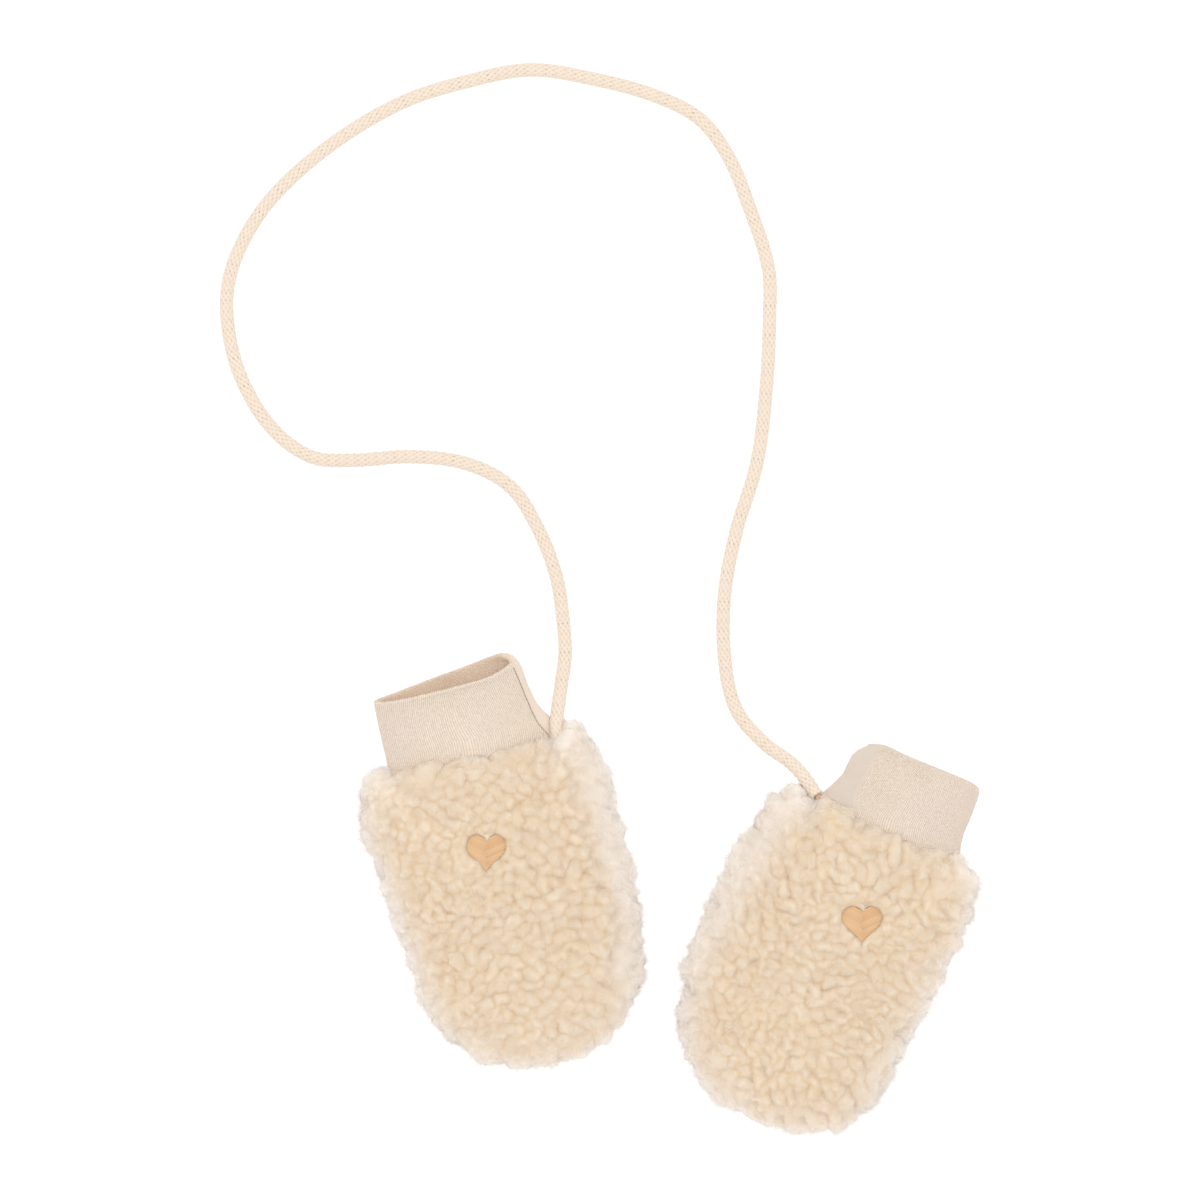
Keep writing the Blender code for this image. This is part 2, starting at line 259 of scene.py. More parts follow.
def braid_height(around, along):
    """How far the top yarn stands off the cord's core, in millimetres."""
    first = (around - along / BRAID_LEAD) * YARNS_EACH_WAY
    second = (around + along / BRAID_LEAD) * YARNS_EACH_WAY
    heights = []
    for own, other, phase in ((first, second, 0.0), (second, first, 1.0)):
        nearest = np.round(own)
        swing = np.cos(math.pi * (other + nearest + phase))
        section = np.sqrt(np.maximum(0.0, 1 - (2 * np.abs(own - nearest)) ** 2.0))
        heights.append(YARN_SWING * swing + YARN_THICKNESS * section)
    return np.maximum(*heights)


print("the yarns stand up to", round(HIGHEST_YARN, 2), "mm off the core")

# %% The cord's line
CORD_RING_PITCH = 0.66

cord_line = smooth_curve(CORD_ROUTE)
cord_length = np.linalg.norm(np.diff(cord_line, axis=0), axis=1).sum()
cord_rings = int(cord_length / CORD_RING_PITCH)
cord_centres = evenly_along(cord_line, cord_rings + 1)
print("cord length:", round(cord_length), "mm, in", cord_rings, "rings")

# %% The cord's tube
CORD_AROUND = 40
CORD_WELD = 0.02 * MM


def carried_along(tangents):
    """A sideways direction for each step of a curve that turns no more than the curve does."""
    sides = [unit(np.cross(tangents[0], (0, 0, 1.0)))]
    for tangent in tangents[1:]:
        sides.append(unit(sides[-1] - tangent * np.dot(sides[-1], tangent)))
    return np.array(sides)


def cord_tube():
    """The braid as one closed tube along the cord's line."""
    tangents = unit(np.gradient(cord_centres, axis=0))
    sides = carried_along(tangents)
    ups = np.cross(sides, tangents)
    mesh, places = flat_grid(CORD_AROUND, cord_rings)
    ring = np.round(places[:, 1] * cord_rings).astype(int)
    angle = places[:, 0] * math.tau
    height = braid_height(places[:, 0], places[:, 1] * cord_length)
    radius = CORD_DIAMETER / 2 + YARN_BULGE - HIGHEST_YARN + height
    outwards = sides[ring] * np.cos(angle)[:, None] + ups[ring] * np.sin(angle)[:, None]
    move_points(mesh, cord_centres[ring] + outwards * radius[:, None])
    depth = mesh.verts.layers.float.new("depth")
    for vert, value in zip(mesh.verts, (height / HIGHEST_YARN).tolist()):
        vert[depth] = value
    bmesh.ops.remove_doubles(mesh, verts=mesh.verts, dist=CORD_WELD)
    ends = [edge for edge in mesh.edges if edge.is_boundary]
    bmesh.ops.holes_fill(mesh, edges=ends, sides=0)
    return finished("braided_cord", mesh)


cord = cord_tube()
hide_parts("cord")

print("cord leaves the left mitten at", [round(value, 1) for value in cord_centres[0]], "mm")

# %% [markdown]
# ## Floor and light
#
# The pair lies on a plain white table in soft light from all round, as in a catalogue. A white
# world gives the even part, and a large lamp above and a little to one side gives the curls
# their gentle shading.

# %% The table
FLOOR_SIZE = 6.0
FLOOR_DROP = 0.2 * MM

floor_mesh = bmesh.new()
bmesh.ops.create_grid(floor_mesh, x_segments=1, y_segments=1, size=FLOOR_SIZE / 2)
bmesh.ops.translate(floor_mesh, verts=floor_mesh.verts, vec=(0, 0, -FLOOR_DROP))
floor_data = bpy.data.meshes.new("floor")
floor_mesh.to_mesh(floor_data)
floor_mesh.free()
floor = bpy.data.objects.new("floor", floor_data)
bpy.context.scene.collection.objects.link(floor)
print("table:", FLOOR_SIZE, "m wide")

# %% White room and one lamp
WHITE = (1.0, 1.0, 1.0, 1)
ROOM_STRENGTH = 0.98

bpy.context.scene.view_settings.view_transform = "Standard"
world = bpy.data.worlds.new("white room")
world.use_nodes = True
room_light = world.node_tree.nodes["Background"]
room_light.inputs["Color"].default_value = WHITE
room_light.inputs["Strength"].default_value = ROOM_STRENGTH
bpy.context.scene.world = world


def soft_lamp(name, place, size, power, colour):
    """A square lamp that points at the mittens."""
    data = bpy.data.lights.new(name, "AREA")
    data.shape = "SQUARE"
    data.size = size
    data.energy = power
    data.color = colour
    lamp = bpy.data.objects.new(name, data)
    lamp.location = place
    lamp.rotation_euler = (FIELD_MIDDLE - Vector(place)).to_track_quat("-Z", "Y").to_euler()
    bpy.context.scene.collection.objects.link(lamp)


soft_lamp("window", place=(-0.15, 0.6, 2.35), size=1.2, power=9, colour=(1.0, 0.99, 0.97))

# %% [markdown]
# ## Writing materials as sums
#
# A Blender material is a graph of nodes. Sums are easier to read as sums, so one small class
# wraps a socket and turns +, -, * and / into Math nodes, and one method makes any other node
# from its type, its settings and what goes into its sockets.


# %% A socket as a number
class Number:
    """A socket with a number on it, that can be added and multiplied like one."""

    def __init__(self, finish, socket):
        self.finish = finish
        self.socket = socket

    def sum_with(self, operation, first, second):
        """A Math node on two values."""
        return self.finish.node("ShaderNodeMath", {"operation": operation}, {0: first, 1: second})

    def __add__(self, other):
        return self.sum_with("ADD", self, other)

    def __radd__(self, other):
        return self.sum_with("ADD", other, self)

    def __sub__(self, other):
        return self.sum_with("SUBTRACT", self, other)

    def __rsub__(self, other):
        return self.sum_with("SUBTRACT", other, self)

    def __mul__(self, other):
        return self.sum_with("MULTIPLY", self, other)

    def __rmul__(self, other):
        return self.sum_with("MULTIPLY", other, self)


print("a socket can now be added, taken away and multiplied")

# %% [markdown]
# All the cloths here are matt, with a faint sheen from their fine hairs. Light goes a few
# millimetres into a thick pile before it comes out again, which is what subsurface does, and it
# does so in all colours alike, or the creases would turn iridescent. The Mix node has several
# sockets of one name, for numbers and for colours, so its colour sockets are reached by number.

# %% A material in the making
SHEEN_ROUGHNESS = 0.5
SHEEN_TINT = (1.0, 0.94, 0.86, 1)
CLOTH_SPECULAR = 0.2
LIGHT_REACH = 4.0 * MM
MIX_FACTOR, MIX_FIRST, MIX_SECOND, MIX_RESULT = 0, 6, 7, 2


class Finish:
    """A material in the making."""

    def __init__(self, name, roughness, sheen=0.0, subsurface=0.0, specular=CLOTH_SPECULAR):
        self.material = bpy.data.materials.new(name)
        self.material.use_nodes = True
        self.tree = self.material.node_tree
        self.shader = self.tree.nodes["Principled BSDF"]
        same_all_over = {
            "Roughness": roughness,
            "Sheen Weight": sheen,
            "Sheen Roughness": SHEEN_ROUGHNESS,
            "Sheen Tint": SHEEN_TINT,
            "Specular IOR Level": specular,
            "Subsurface Weight": subsurface,
            "Subsurface Radius": (1.0, 1.0, 1.0),
            "Subsurface Scale": LIGHT_REACH,
        }
        for socket, value in same_all_over.items():
            self.shader.inputs[socket].default_value = value

    def put(self, socket, value):
        """Links a number's socket, or sets a plain value."""
        if isinstance(value, Number):
            self.tree.links.new(value.socket, socket)
        else:
            socket.default_value = value

    def node(self, kind, settings=None, inputs=None, output=0):
        """A node with its settings made first, then its sockets filled."""
        made = self.tree.nodes.new(kind)
        for name, value in (settings or {}).items():
            setattr(made, name, value)
        for name, value in (inputs or {}).items():
            self.put(made.inputs[name], value)
        return Number(self, made.outputs[output])

    def ramp(self, value, low, high):
        """0 below low, 1 above high, and an even rise between."""
        inputs = {"Value": value, "From Min": low, "From Max": high}
        return self.node("ShaderNodeMapRange", {"clamp": True}, inputs)

    def blend(self, factor, first, second):
        """One colour turning into another."""
        first, second = [(*c, 1) if isinstance(c, tuple) else c for c in (first, second)]
        inputs = {MIX_FACTOR: factor, MIX_FIRST: first, MIX_SECOND: second}
        return self.node("ShaderNodeMix", {"data_type": "RGBA"}, inputs, MIX_RESULT)

    def wave(self, value):
        """0 at each whole number, 1 halfway between them."""
        return self.node("ShaderNodeMath", {"operation": "PINGPONG"}, {0: value, 1: 0.5}) * 2

    def size_of(self, value):
        """The number without its sign."""
        return self.node("ShaderNodeMath", {"operation": "ABSOLUTE"}, {0: value})

    def stored(self, name):
        """A number that was stored on the mesh's points."""
        return self.node("ShaderNodeAttribute", {"attribute_name": name}, output="Fac")

    def noise(self, scale, detail=2.0, vector=None):
        """Blender's own noise over the object, or over another vector."""
        if vector is None:
            vector = self.node("ShaderNodeTexCoord", output="Object")
        inputs = {"Scale": scale, "Detail": detail, "Vector": vector}
        return self.node("ShaderNodeTexNoise", {}, inputs)

    def colour(self, value):
        """The colour all over the piece."""
        self.put(self.shader.inputs["Base Color"], value)

    def relief(self, height, distance):
        """Bumps of that height, with the distance that a height of 1 stands for in metres."""
        inputs = {"Strength": 1.0, "Distance": distance, "Height": height}
        self.put(self.shader.inputs["Normal"], self.node("ShaderNodeBump", {}, inputs))


def dress(item, finish):
    """Gives a piece its one material."""
    item.data.materials.clear()
    item.data.materials.append(finish.material)


print("a cloth lets light in for", LIGHT_REACH / MM, "mm")

# %% [markdown]
# A white table in a studio is lit until it looks pure white. Here it glows instead, which also
# lights the pile's sides from below, as a real light table does.

# %% The table's paint
TABLE_GREY = (0.1, 0.1, 0.1, 1)
TABLE_ROUGHNESS = 0.6
TABLE_GLOW = 0.95

table_paint = Finish("light_table", TABLE_ROUGHNESS)
table_paint.colour(TABLE_GREY)
table_paint.shader.inputs["Emission Color"].default_value = WHITE
table_paint.shader.inputs["Emission Strength"].default_value = TABLE_GLOW
dress(floor, table_paint)
print("materials so far:", len(bpy.data.materials))

# %% [markdown]
# ## The two mittens' shapes
#
# Each mitten is drawn flat in its own frame, in millimetres: "across" is to its right, and
# "along" runs from its closed tip to its cuff. The outline of the pile has a notch at the mouth,
# on the side where the cord goes in. A cuff is a few rows: how far along, its left and right
# sides, and its lowest and highest point.


# %% A mitten's measures
class Mitten:
    """One mitten's measures, and where it lies."""

    def __init__(self, name, spot, turn, middle, motif, grain, stretch, seed):
        self.name = name
        self.spot = spot
        self.turn = math.radians(turn)
        self.middle = np.array(middle)
        self.motif = np.array(motif)
        self.grain = grain
        self.stretch = stretch
        self.seed = seed

    def lay(self, points):
        """Points in the mitten's own frame, turned and moved to where it lies."""
        cos, sin = math.cos(self.turn), math.sin(self.turn)
        across, along, up = points[..., 0], points[..., 1], points[..., 2]
        return np.stack(
            [
                self.spot[0] + across * cos - along * sin,
                self.spot[1] + across * sin + along * cos,
                up,
            ],
            axis=-1,
        )


left = Mitten(
    "left",
    spot=(-61.2, -6.2),
    turn=16,
    middle=(3.5, 0),
    motif=(-1, 24),
    grain=-0.2,
    stretch=1.16,
    seed=11,
)
right = Mitten(
    "right",
    spot=(61.6, -23.3),
    turn=-20,
    middle=(-4, -7),
    motif=(6.3, 16),
    grain=-0.3,
    stretch=1.28,
    seed=23,
)
MITTENS = (left, right)
print("turned by, in degrees:", {m.name: round(math.degrees(m.turn)) for m in MITTENS})

# %% Outlines of the pile
left.edge = (
    (7, -62), (21, -58.5), (32.5, -51.5), (40.5, -41), (46, -27), (49.5, -8), (50.8, 14),
    (51.5, 34), (50.0, 49), (47.6, 58), (43.5, 63.5), (37.5, 61.6), (29, 58.8), (14, 59.2),
    (-3, 60.5), (-18, 62.2), (-28, 64.3), (-35, 64.8), (-40.3, 61), (-43.6, 51.5),
    (-44.2, 34), (-42.8, 10), (-41.5, -14), (-39.6, -30), (-34, -43), (-24, -53), (-9, -60),
)
right.edge = (
    (-8, -69), (13, -66.5), (26.5, -61), (32.5, -52.5), (37, -41), (39.2, -25), (41.8, -8),
    (44, 8), (45, 26), (44.5, 39), (42, 47.5), (36.5, 51), (29, 51.8), (16, 51.8),
    (2, 52.3), (-9, 54.0), (-18, 56.8), (-22.5, 55.4), (-27.5, 52.8), (-32.5, 57.0),
    (-36.5, 56.2), (-40, 52.2),
    (-43.8, 42), (-48, 26), (-50.3, 8), (-51.5, -10), (-50.5, -26), (-47, -40),
    (-40.5, -51), (-32.5, -60), (-24, -66.5),
)
print("outline points:", {mitten.name: len(mitten.edge) for mitten in MITTENS})

# %% The cuffs' rows
left.cuff = np.array((
    (52.5, -27.5, 33.3, 6.4, 16.2), (58.5, -28.3, 34.6, 6.4, 16.2), (63, -28.6, 35.6, 6.2, 16.2),
    (66.5, -28.4, 35.9, 5.8, 16.2), (69, -28.2, 34.2, 5.2, 16.2), (73, -28.1, 32.5, 5.0, 16.2),
    (80, -27.7, 31.3, 4.4, 16.2), (87, -27.2, 30.9, 3.6, 16.1), (89.5, -26.9, 30.4, 3.3, 16.0),
    (92, -26.5, 29.0, 3.1, 15.9), (93.7, -26.2, 26.8, 3.0, 15.8),
))
right.cuff = np.array((
    (45.5, -22.6, 33.0, 6.4, 16.2), (52, -24.6, 33.6, 6.4, 16.2), (56.3, -24.2, 32.4, 6.1, 16.2),
    (61.2, -21.4, 32.0, 5.6, 16.4), (66.3, -19.0, 32.4, 4.7, 16.7), (70.6, -18.6, 32.5, 4.2, 16.9),
    (74.3, -18.1, 32.5, 3.6, 17.0), (77, -16.6, 32.3, 3.2, 17.2), (79.3, -14.2, 31.4, 2.6, 17.2),
    (81.5, -11.1, 29.5, 2.6, 17.0),
))
print("cuff widths in mm:", [round(m.cuff[1, 2] - m.cuff[1, 1], 1) for m in MITTENS])

# %% [markdown]
# A cuff's rim isn't level, so the rim line says how far along it lies at each angle round the
# tube. The seam line is where the cuff's side seam runs. The back of each mitten is drawn in a
# little along one side, where the pile parts: the valley is that line, with its depth.

# %% Rims, side seams and valleys
left.rim_line = np.array((
    (-90, 91.7), (-45, 93.2), (-25, 93.5), (-12, 93.2), (0, 91.8), (8, 90.4), (16, 89.4),
    (28, 88.4), (40, 87.3), (52, 86.3), (65, 85.8), (90, 86.0), (120, 86.6), (150, 87.7),
    (180, 89.3), (225, 90.0), (270, 91.7),
))
right.rim_line = np.array((
    (-90, 79.0), (-30, 78.4), (0, 78.0), (30, 79.0), (60, 79.5), (90, 79.9), (115, 80.3),
    (132, 80.9), (150, 81.0), (180, 79.5), (270, 79.0),
))
left.seam_line = np.array((
    (52, 36.5), (60.4, 33.2), (65, 31.0), (70, 30.0), (75.8, 29.3), (84.8, 28.3), (94, 27),
))
right.seam_line = np.array((
    (45, -9.5), (55.3, -10.0), (59.4, -11.5), (66.5, -11.0), (73.2, -9.6), (79.8, -8.2), (82, -8),
))
left.valley = np.array((
    (33.5, 60), (35.4, 46.3), (36.3, 35.4), (36.3, 9.4), (37.3, -4), (37.8, -19.6), (30.8, -30.6),
))
left.valley_depth = 1.5
right.valley = np.array(((-28, 50), (-30, 40), (-32.4, 18), (-40, -12), (-43, -30)))
right.valley_depth = 0.7
print("seams start at, in mm:", [mitten.seam_line[0].tolist() for mitten in MITTENS])

# %% [markdown]
# ## The surface under the curls
#
# A pile panel is a shallow crown: nearly flat over the hand, round at the sides, and down to the
# seam at its edge. At the mouth the back panel's edge rides up over the cuff and the palm's dips
# under it, so the edge follows the cuff's own section there.
#
# The grid of points is first squeezed from a square to a disc, which leaves no pole in the
# middle, and the disc is then spread to the outline. Steps along the crown are kept even by its
# own length, or the steep sides would get too few points.

# %% The crown's section
SEAM_HEIGHT = 11.0
BASE_TOP = 23.3
BASE_BOTTOM = 2.6
CROWN_POWER = 4
CROWN_SAMPLES = 400
TYPICAL_REACH = 48.0


def crown_height(share):
    """How high the crown stands at a share of the way out: 1 in the middle, 0 at the rim."""
    return np.sqrt(np.maximum(0, 1 - share**CROWN_POWER))


def crown_steps():
    """Even steps along the crown's section: shares of the run along it, and of the way out."""
    shares = np.sin(np.linspace(0, math.pi / 2, CROWN_SAMPLES))
    heights = (BASE_TOP - SEAM_HEIGHT) * crown_height(shares)
    run = np.hypot(np.diff(shares) * TYPICAL_REACH, np.diff(heights))
    lengths = np.concatenate([[0], np.cumsum(run)])
    return lengths / lengths[-1], shares


RUN_SHARES, OUT_SHARES = crown_steps()
halfway = float(np.interp(0.5, RUN_SHARES, OUT_SHARES))
print("halfway along the crown is", round(halfway, 2), "of the way out")

# %% The cuff's section
CUFF_SQUARENESS = 2.6
CUFF_CLEARANCE = 0.7


def cuff_section(mitten, across, along):
    """The cuff's middle height at a place, and how far its outside stands above and below it."""
    rows = mitten.cuff
    sides = [np.interp(along, rows[:, 0], rows[:, column]) for column in (1, 2, 3, 4)]
    out = np.abs(across - (sides[0] + sides[1]) / 2) / ((sides[1] - sides[0]) / 2 + CUFF_CLEARANCE)
    rise = np.maximum(0, 1 - np.minimum(out, 1) ** CUFF_SQUARENESS) ** (1 / CUFF_SQUARENESS)
    return (sides[2] + sides[3]) / 2, rise * ((sides[3] - sides[2]) / 2 + CUFF_CLEARANCE)


middle_height, half_height = cuff_section(left, left.middle[0], left.cuff[0, 0])
print("the left cuff's middle and half height:", np.round([middle_height, half_height], 1), "mm")

# %% The rims
EDGE_STEPS = 1440
EDGE_INSET = 4.0
ROUNDING_TIMES = 10
ROUNDING_REACH = 4


def sideways(line):
    """Which way is outwards at each point of a closed line that runs anticlockwise."""
    forward = unit(np.roll(line, -1, axis=0) - np.roll(line, 1, axis=0))
    return np.stack([forward[:, 1], -forward[:, 0], forward[:, 2]], axis=1)


def rounded_off(line):
    """A closed line with each point moved to the mean of its neighbours, over and over."""
    for _ in range(ROUNDING_TIMES):
        before = np.roll(line, -ROUNDING_REACH, axis=0)
        after = np.roll(line, ROUNDING_REACH, axis=0)
        line = (before + line + after) / 3
    return line


for mitten in MITTENS:
    corners = [(*place, 0) for place in mitten.edge]
    line = evenly_along(smooth_curve(corners, closed=True), EDGE_STEPS + 1)
    print(mitten.name, "outline", np.round(np.ptp(line, axis=0)[:2], 1), "mm")
    inset = rounded_off(line[:-1] - sideways(line[:-1]) * EDGE_INSET)
    mitten.rim = evenly_along(np.concatenate([inset, inset[:1]]), EDGE_STEPS + 1)[:-1]
    mitten.outward = sideways(mitten.rim)

# %% [markdown]
# The outlines start at the closed tip, which is a quarter turn before the grid's own start, so
# the disc's bearings are turned by a quarter before they are looked up along the rim.

# %% A layer's base
BACK, PALM = True, False
LAYERS = (BACK, PALM)
LAYER_NAMES = {BACK: "back", PALM: "palm"}
SEAM_OVERLAP = 0.3
PILE_SINK = 2.2
QUARTER_TURN = 0.25
STEEPEST = 1e-3


def squeezed(places):
    """Grid places from 0 to 1 as points of a round disc of radius 1."""
    x, y = (places * 2 - 1).T
    return np.stack([x * np.sqrt(1 - y * y / 2), y * np.sqrt(1 - x * x / 2)], axis=1)


def panel_base(mitten, disc, upper):
    """The panel's surface under its curls, which way is out of it, and the share of the way out."""
    run = np.minimum(np.linalg.norm(disc, axis=1), 1)
    share = np.interp(run, RUN_SHARES, OUT_SHARES)
    bearing = np.arctan2(disc[:, 1], disc[:, 0]) / math.tau
    turn = (bearing + QUARTER_TURN) % 1.0 * EDGE_STEPS
    below = turn.astype(int) % EDGE_STEPS
    part = (turn % 1.0)[:, None]
    above = (below + 1) % EDGE_STEPS
    rim = mitten.rim[below] * (1 - part) + mitten.rim[above] * part
    outward = unit(mitten.outward[below] * (1 - part) + mitten.outward[above] * part)
    middle = np.array([*mitten.middle, 0])
    points = middle + (rim - middle) * share[:, None]
    core, half = cuff_section(mitten, rim[:, 0], rim[:, 1])
    if upper:
        over_cuff = np.where(half > 0, core + half - PILE_SINK, -math.inf)
        edge = np.maximum(SEAM_HEIGHT - SEAM_OVERLAP, over_cuff)
        rise = BASE_TOP - edge
    else:
        under_cuff = np.where(half > 0, core - half + PILE_SINK, math.inf)
        edge = np.minimum(SEAM_HEIGHT + SEAM_OVERLAP, under_cuff)
        rise = BASE_BOTTOM - edge
    crown = crown_height(share)
    points[:, 2] = edge + rise * crown
    reach = np.linalg.norm(rim - middle, axis=1)
    fall = CROWN_POWER / 2 * share ** (CROWN_POWER - 1)
    slope = np.abs(rise) * fall / (np.maximum(crown, STEEPEST) * reach)
    normal = outward * slope[:, None]
    normal[:, 2] = np.sign(rise)
    return points, unit(normal), share


for mitten in MITTENS:
    heights = [panel_base(mitten, np.zeros((1, 2)), upper)[0][0, 2] for upper in LAYERS]
    print(mitten.name, "middle heights under the curls:", np.round(heights, 1), "mm")

# %% [markdown]
# ## The curls
#
# The cloth is a teddy pile: its fibres shrink into little round locks, about 5 mm across, that
# press against each other, with thin dark lines between them. Fibres as hair would look right
# but can't be exported as a solid, so the locks are modelled: spots are scattered with a least
# distance between them, and each lifts a dome. Where two domes meet there is a crease.
#
# Every lock has its own way that it leans and its own bend, taken from a slow noise so that
# neighbours agree, and fine ridges follow that bend. The two panels share one scatter, so that
# the locks at the edge run round it and hide the seam.


# %% Slow noise
def slow_noise(points, size, seed):
    """A smooth random number from about -1 to 1 at each point, changing over that size in mm."""
    offset = Vector((seed * 7.31, seed * 3.17, seed * 1.93))
    return np.array([noise.noise(Vector(point) / size + offset) for point in points.tolist()])


def slow_shift(points, size, seed):
    """A smooth random shift of each point, up to about 1 mm each way."""
    return np.stack([slow_noise(points, size, seed + step) for step in (0.1, 0.4, 0.7)], axis=1)


samples = slow_noise(np.arange(60.0).reshape(20, 3), 5, 1)
print("slow noise on a few points:", np.round([samples.min(), samples.max()], 2))

# %% Scatter the locks
PILE_CELLS = {BACK: 215, PALM: 150}
SCATTER_TRIES = 40000
LOCK_PITCH = (2.7, 4.9)
PITCH_CHANGES_OVER = 20
PITCH_VARIES = 0.7
PITCH_USUAL = 0.45
EDGE_PITCH = 1.8
EDGE_PITCH_RISE = 3


def scatter_locks(points, normals, mitten, draws):
    """Picks points so that none is nearer to another than the pitch, which varies slowly."""
    order = draws.permutation(len(points))[:SCATTER_TRIES]
    spots = np.empty((0, 3))
    kept = []
    vary = slow_noise(points[order], PITCH_CHANGES_OVER, mitten.seed) * PITCH_VARIES + PITCH_USUAL
    pitches = LOCK_PITCH[0] + (LOCK_PITCH[1] - LOCK_PITCH[0]) * np.clip(vary, 0, 1)
    steep = 1 - np.abs(normals[order, 2])
    pitches += EDGE_PITCH * np.clip(steep * EDGE_PITCH_RISE, 0, 1)
    for index, pitch in zip(order, pitches):
        if len(kept) and ((spots - points[index]) ** 2).sum(axis=1).min() < pitch * pitch:
            continue
        kept.append(index)
        spots = np.concatenate([spots, points[index][None]])
    return np.array(kept)


def layer_places(mitten):
    """The points of both layers' bases, with their normals, for locks to be scattered over."""
    bases, facings = [], []
    for upper in LAYERS:
        mesh, places = flat_grid(PILE_CELLS[upper], PILE_CELLS[upper])
        mesh.free()
        base, normals, _ = panel_base(mitten, squeezed(places), upper)
        bases.append(base)
        facings.append(normals)
    return np.concatenate(bases), np.concatenate(facings)


print("locks are at least", LOCK_PITCH[0], "mm apart")

# %% [markdown]
# On the flat of the hand a lock leans along the cloth's grain, which swirls slowly. At the steep
# sides it leans outwards and varies more in height, which makes the outline shaggy.

# %% What each lock is like
PITCH_NEIGHBOURS = 4
STEEP_RISE = 2.5
SWIRL_CHANGES_OVER = 26
SWIRL_TURN = 3.0
SWIRL_SPREAD = 0.5
SIDE_GRAIN_LOSS = 0.8
SIDE_LEAN = 2
STRETCH_CHANGES_OVER = 22
STRETCH_VARIES = 0.25
STRETCH_DRAWN = (-0.10, 0.20)
SIDE_STRETCH = 0.12
RISE_SPREAD = 0.24
SIDE_RISE_SPREAD = 1.4
BEND_SPREAD = 0.20


class Locks:
    """The locks of one mitten's pile."""

    def __init__(self, mitten, points, normals):
        draws = np.random.default_rng(mitten.seed)
        kept = scatter_locks(points, normals, mitten, draws)
        self.spots = points[kept]
        self.count = len(kept)
        self.tree = kdtree.KDTree(self.count)
        for index, spot in enumerate(self.spots.tolist()):
            self.tree.insert(spot, index)
        self.tree.balance()
        self.pitch = self.mean_pitch()
        facing = normals[kept]
        steep = np.clip((1 - np.abs(facing[:, 2:])) * STEEP_RISE, 0, 1)
        swirl = slow_noise(self.spots, SWIRL_CHANGES_OVER, mitten.seed + 1) * SWIRL_TURN
        swirl = mitten.grain + swirl
        swirl += draws.normal(0, SWIRL_SPREAD, self.count)
        lean = np.stack([np.cos(swirl), np.sin(swirl), np.zeros(self.count)], axis=1)
        lean = lean * (1 - SIDE_GRAIN_LOSS * steep) + facing * (1, 1, 0) * steep * SIDE_LEAN
        self.lean = unit(lean - facing * (lean * facing).sum(axis=1, keepdims=True))
        self.beside = np.cross(facing, self.lean)
        vary = STRETCH_VARIES * slow_noise(self.spots, STRETCH_CHANGES_OVER, mitten.seed + 2)
        self.stretch = mitten.stretch + vary
        drawn = draws.uniform(*STRETCH_DRAWN, self.count)
        self.stretch += drawn + SIDE_STRETCH * steep[:, 0]
        spread = 1 + SIDE_RISE_SPREAD * steep[:, 0]
        self.rise = draws.normal(0, RISE_SPREAD, self.count) * spread
        self.bend = draws.uniform(-BEND_SPREAD, BEND_SPREAD, self.count)
        self.shade = draws.uniform(0, 1, self.count)

    def mean_pitch(self):
        """Each lock's mean distance to its nearest neighbours."""
        pitches = []
        for spot in self.spots.tolist():
            found = self.tree.find_n(spot, PITCH_NEIGHBOURS + 1)
            pitches.append([distance for _, _, distance in found[1:]])
        return np.mean(pitches, axis=1)


for mitten in MITTENS:
    mitten.locks = Locks(mitten, *layer_places(mitten))
    print(mitten.name, mitten.locks.count, "locks")

# %% The heart's outline
HEART_SIZE = 8.0
HEART_SAMPLES = 2000


def heart_reach():
    """How far a heart's edge is from its middle, for each degree all the way round."""
    turns = np.linspace(0, math.tau, HEART_SAMPLES)
    x = 16 * np.sin(turns) ** 3
    y = 13 * np.cos(turns) - 5 * np.cos(2 * turns) - 2 * np.cos(3 * turns) - np.cos(4 * turns) + 1
    bearing = np.degrees(np.arctan2(y, x)) % 360
    order = np.argsort(bearing)
    return np.interp(np.arange(361), bearing[order], np.hypot(x, y)[order] / 16, period=360)


HEART_REACH = heart_reach()


def heart_share(x, y):
    """How far out a place is in a heart of size 1: 0 in its middle, 1 on its edge."""
    turns = np.degrees(np.arctan2(y, x)) % 360
    return np.hypot(x, y) / np.interp(turns, np.arange(361), HEART_REACH)


print("the heart is", HEART_SIZE * 2, "mm wide")

# %% The dip and the valley
DIP_SHARE = 1.10
DIP_STEEPNESS = 6
VALLEY_WIDTH = 2.2
VALLEY_FADE = 6
BEYOND_WIDTH = 4


def dip_at(mitten, points):
    """1 under the sewn-on motif, 0 away from it."""
    x, y = points[:, 0] - mitten.motif[0], points[:, 1] - mitten.motif[1]
    cos, sin = math.cos(mitten.turn), math.sin(mitten.turn)
    share = heart_share((x * cos - y * sin) / HEART_SIZE, (x * sin + y * cos) / HEART_SIZE)
    return np.exp(-((share / DIP_SHARE) ** DIP_STEEPNESS)) * (points[:, 2] > SEAM_HEIGHT)


def valley_at(mitten, points):
    """1 on the line where the back panel is drawn in, 0 away from it, and the share beyond it."""
    line = mitten.valley[np.argsort(mitten.valley[:, 1])]
    away = (points[:, 0] - np.interp(points[:, 1], line[:, 1], line[:, 0])) * np.sign(line[0, 0])
    past_end = np.maximum(line[0, 1] - points[:, 1], 0) / VALLEY_FADE
    kept = np.exp(-(past_end**2)) * (points[:, 2] > SEAM_HEIGHT)
    beyond = np.clip(away / BEYOND_WIDTH, 0, 1) * kept
    return np.exp(-((away / VALLEY_WIDTH) ** 2)) * kept, beyond


for mitten in MITTENS:
    spot = np.array([[*mitten.motif, BASE_TOP]])
    print(mitten.name, "dip under the motif:", round(float(dip_at(mitten, spot)[0]), 2))

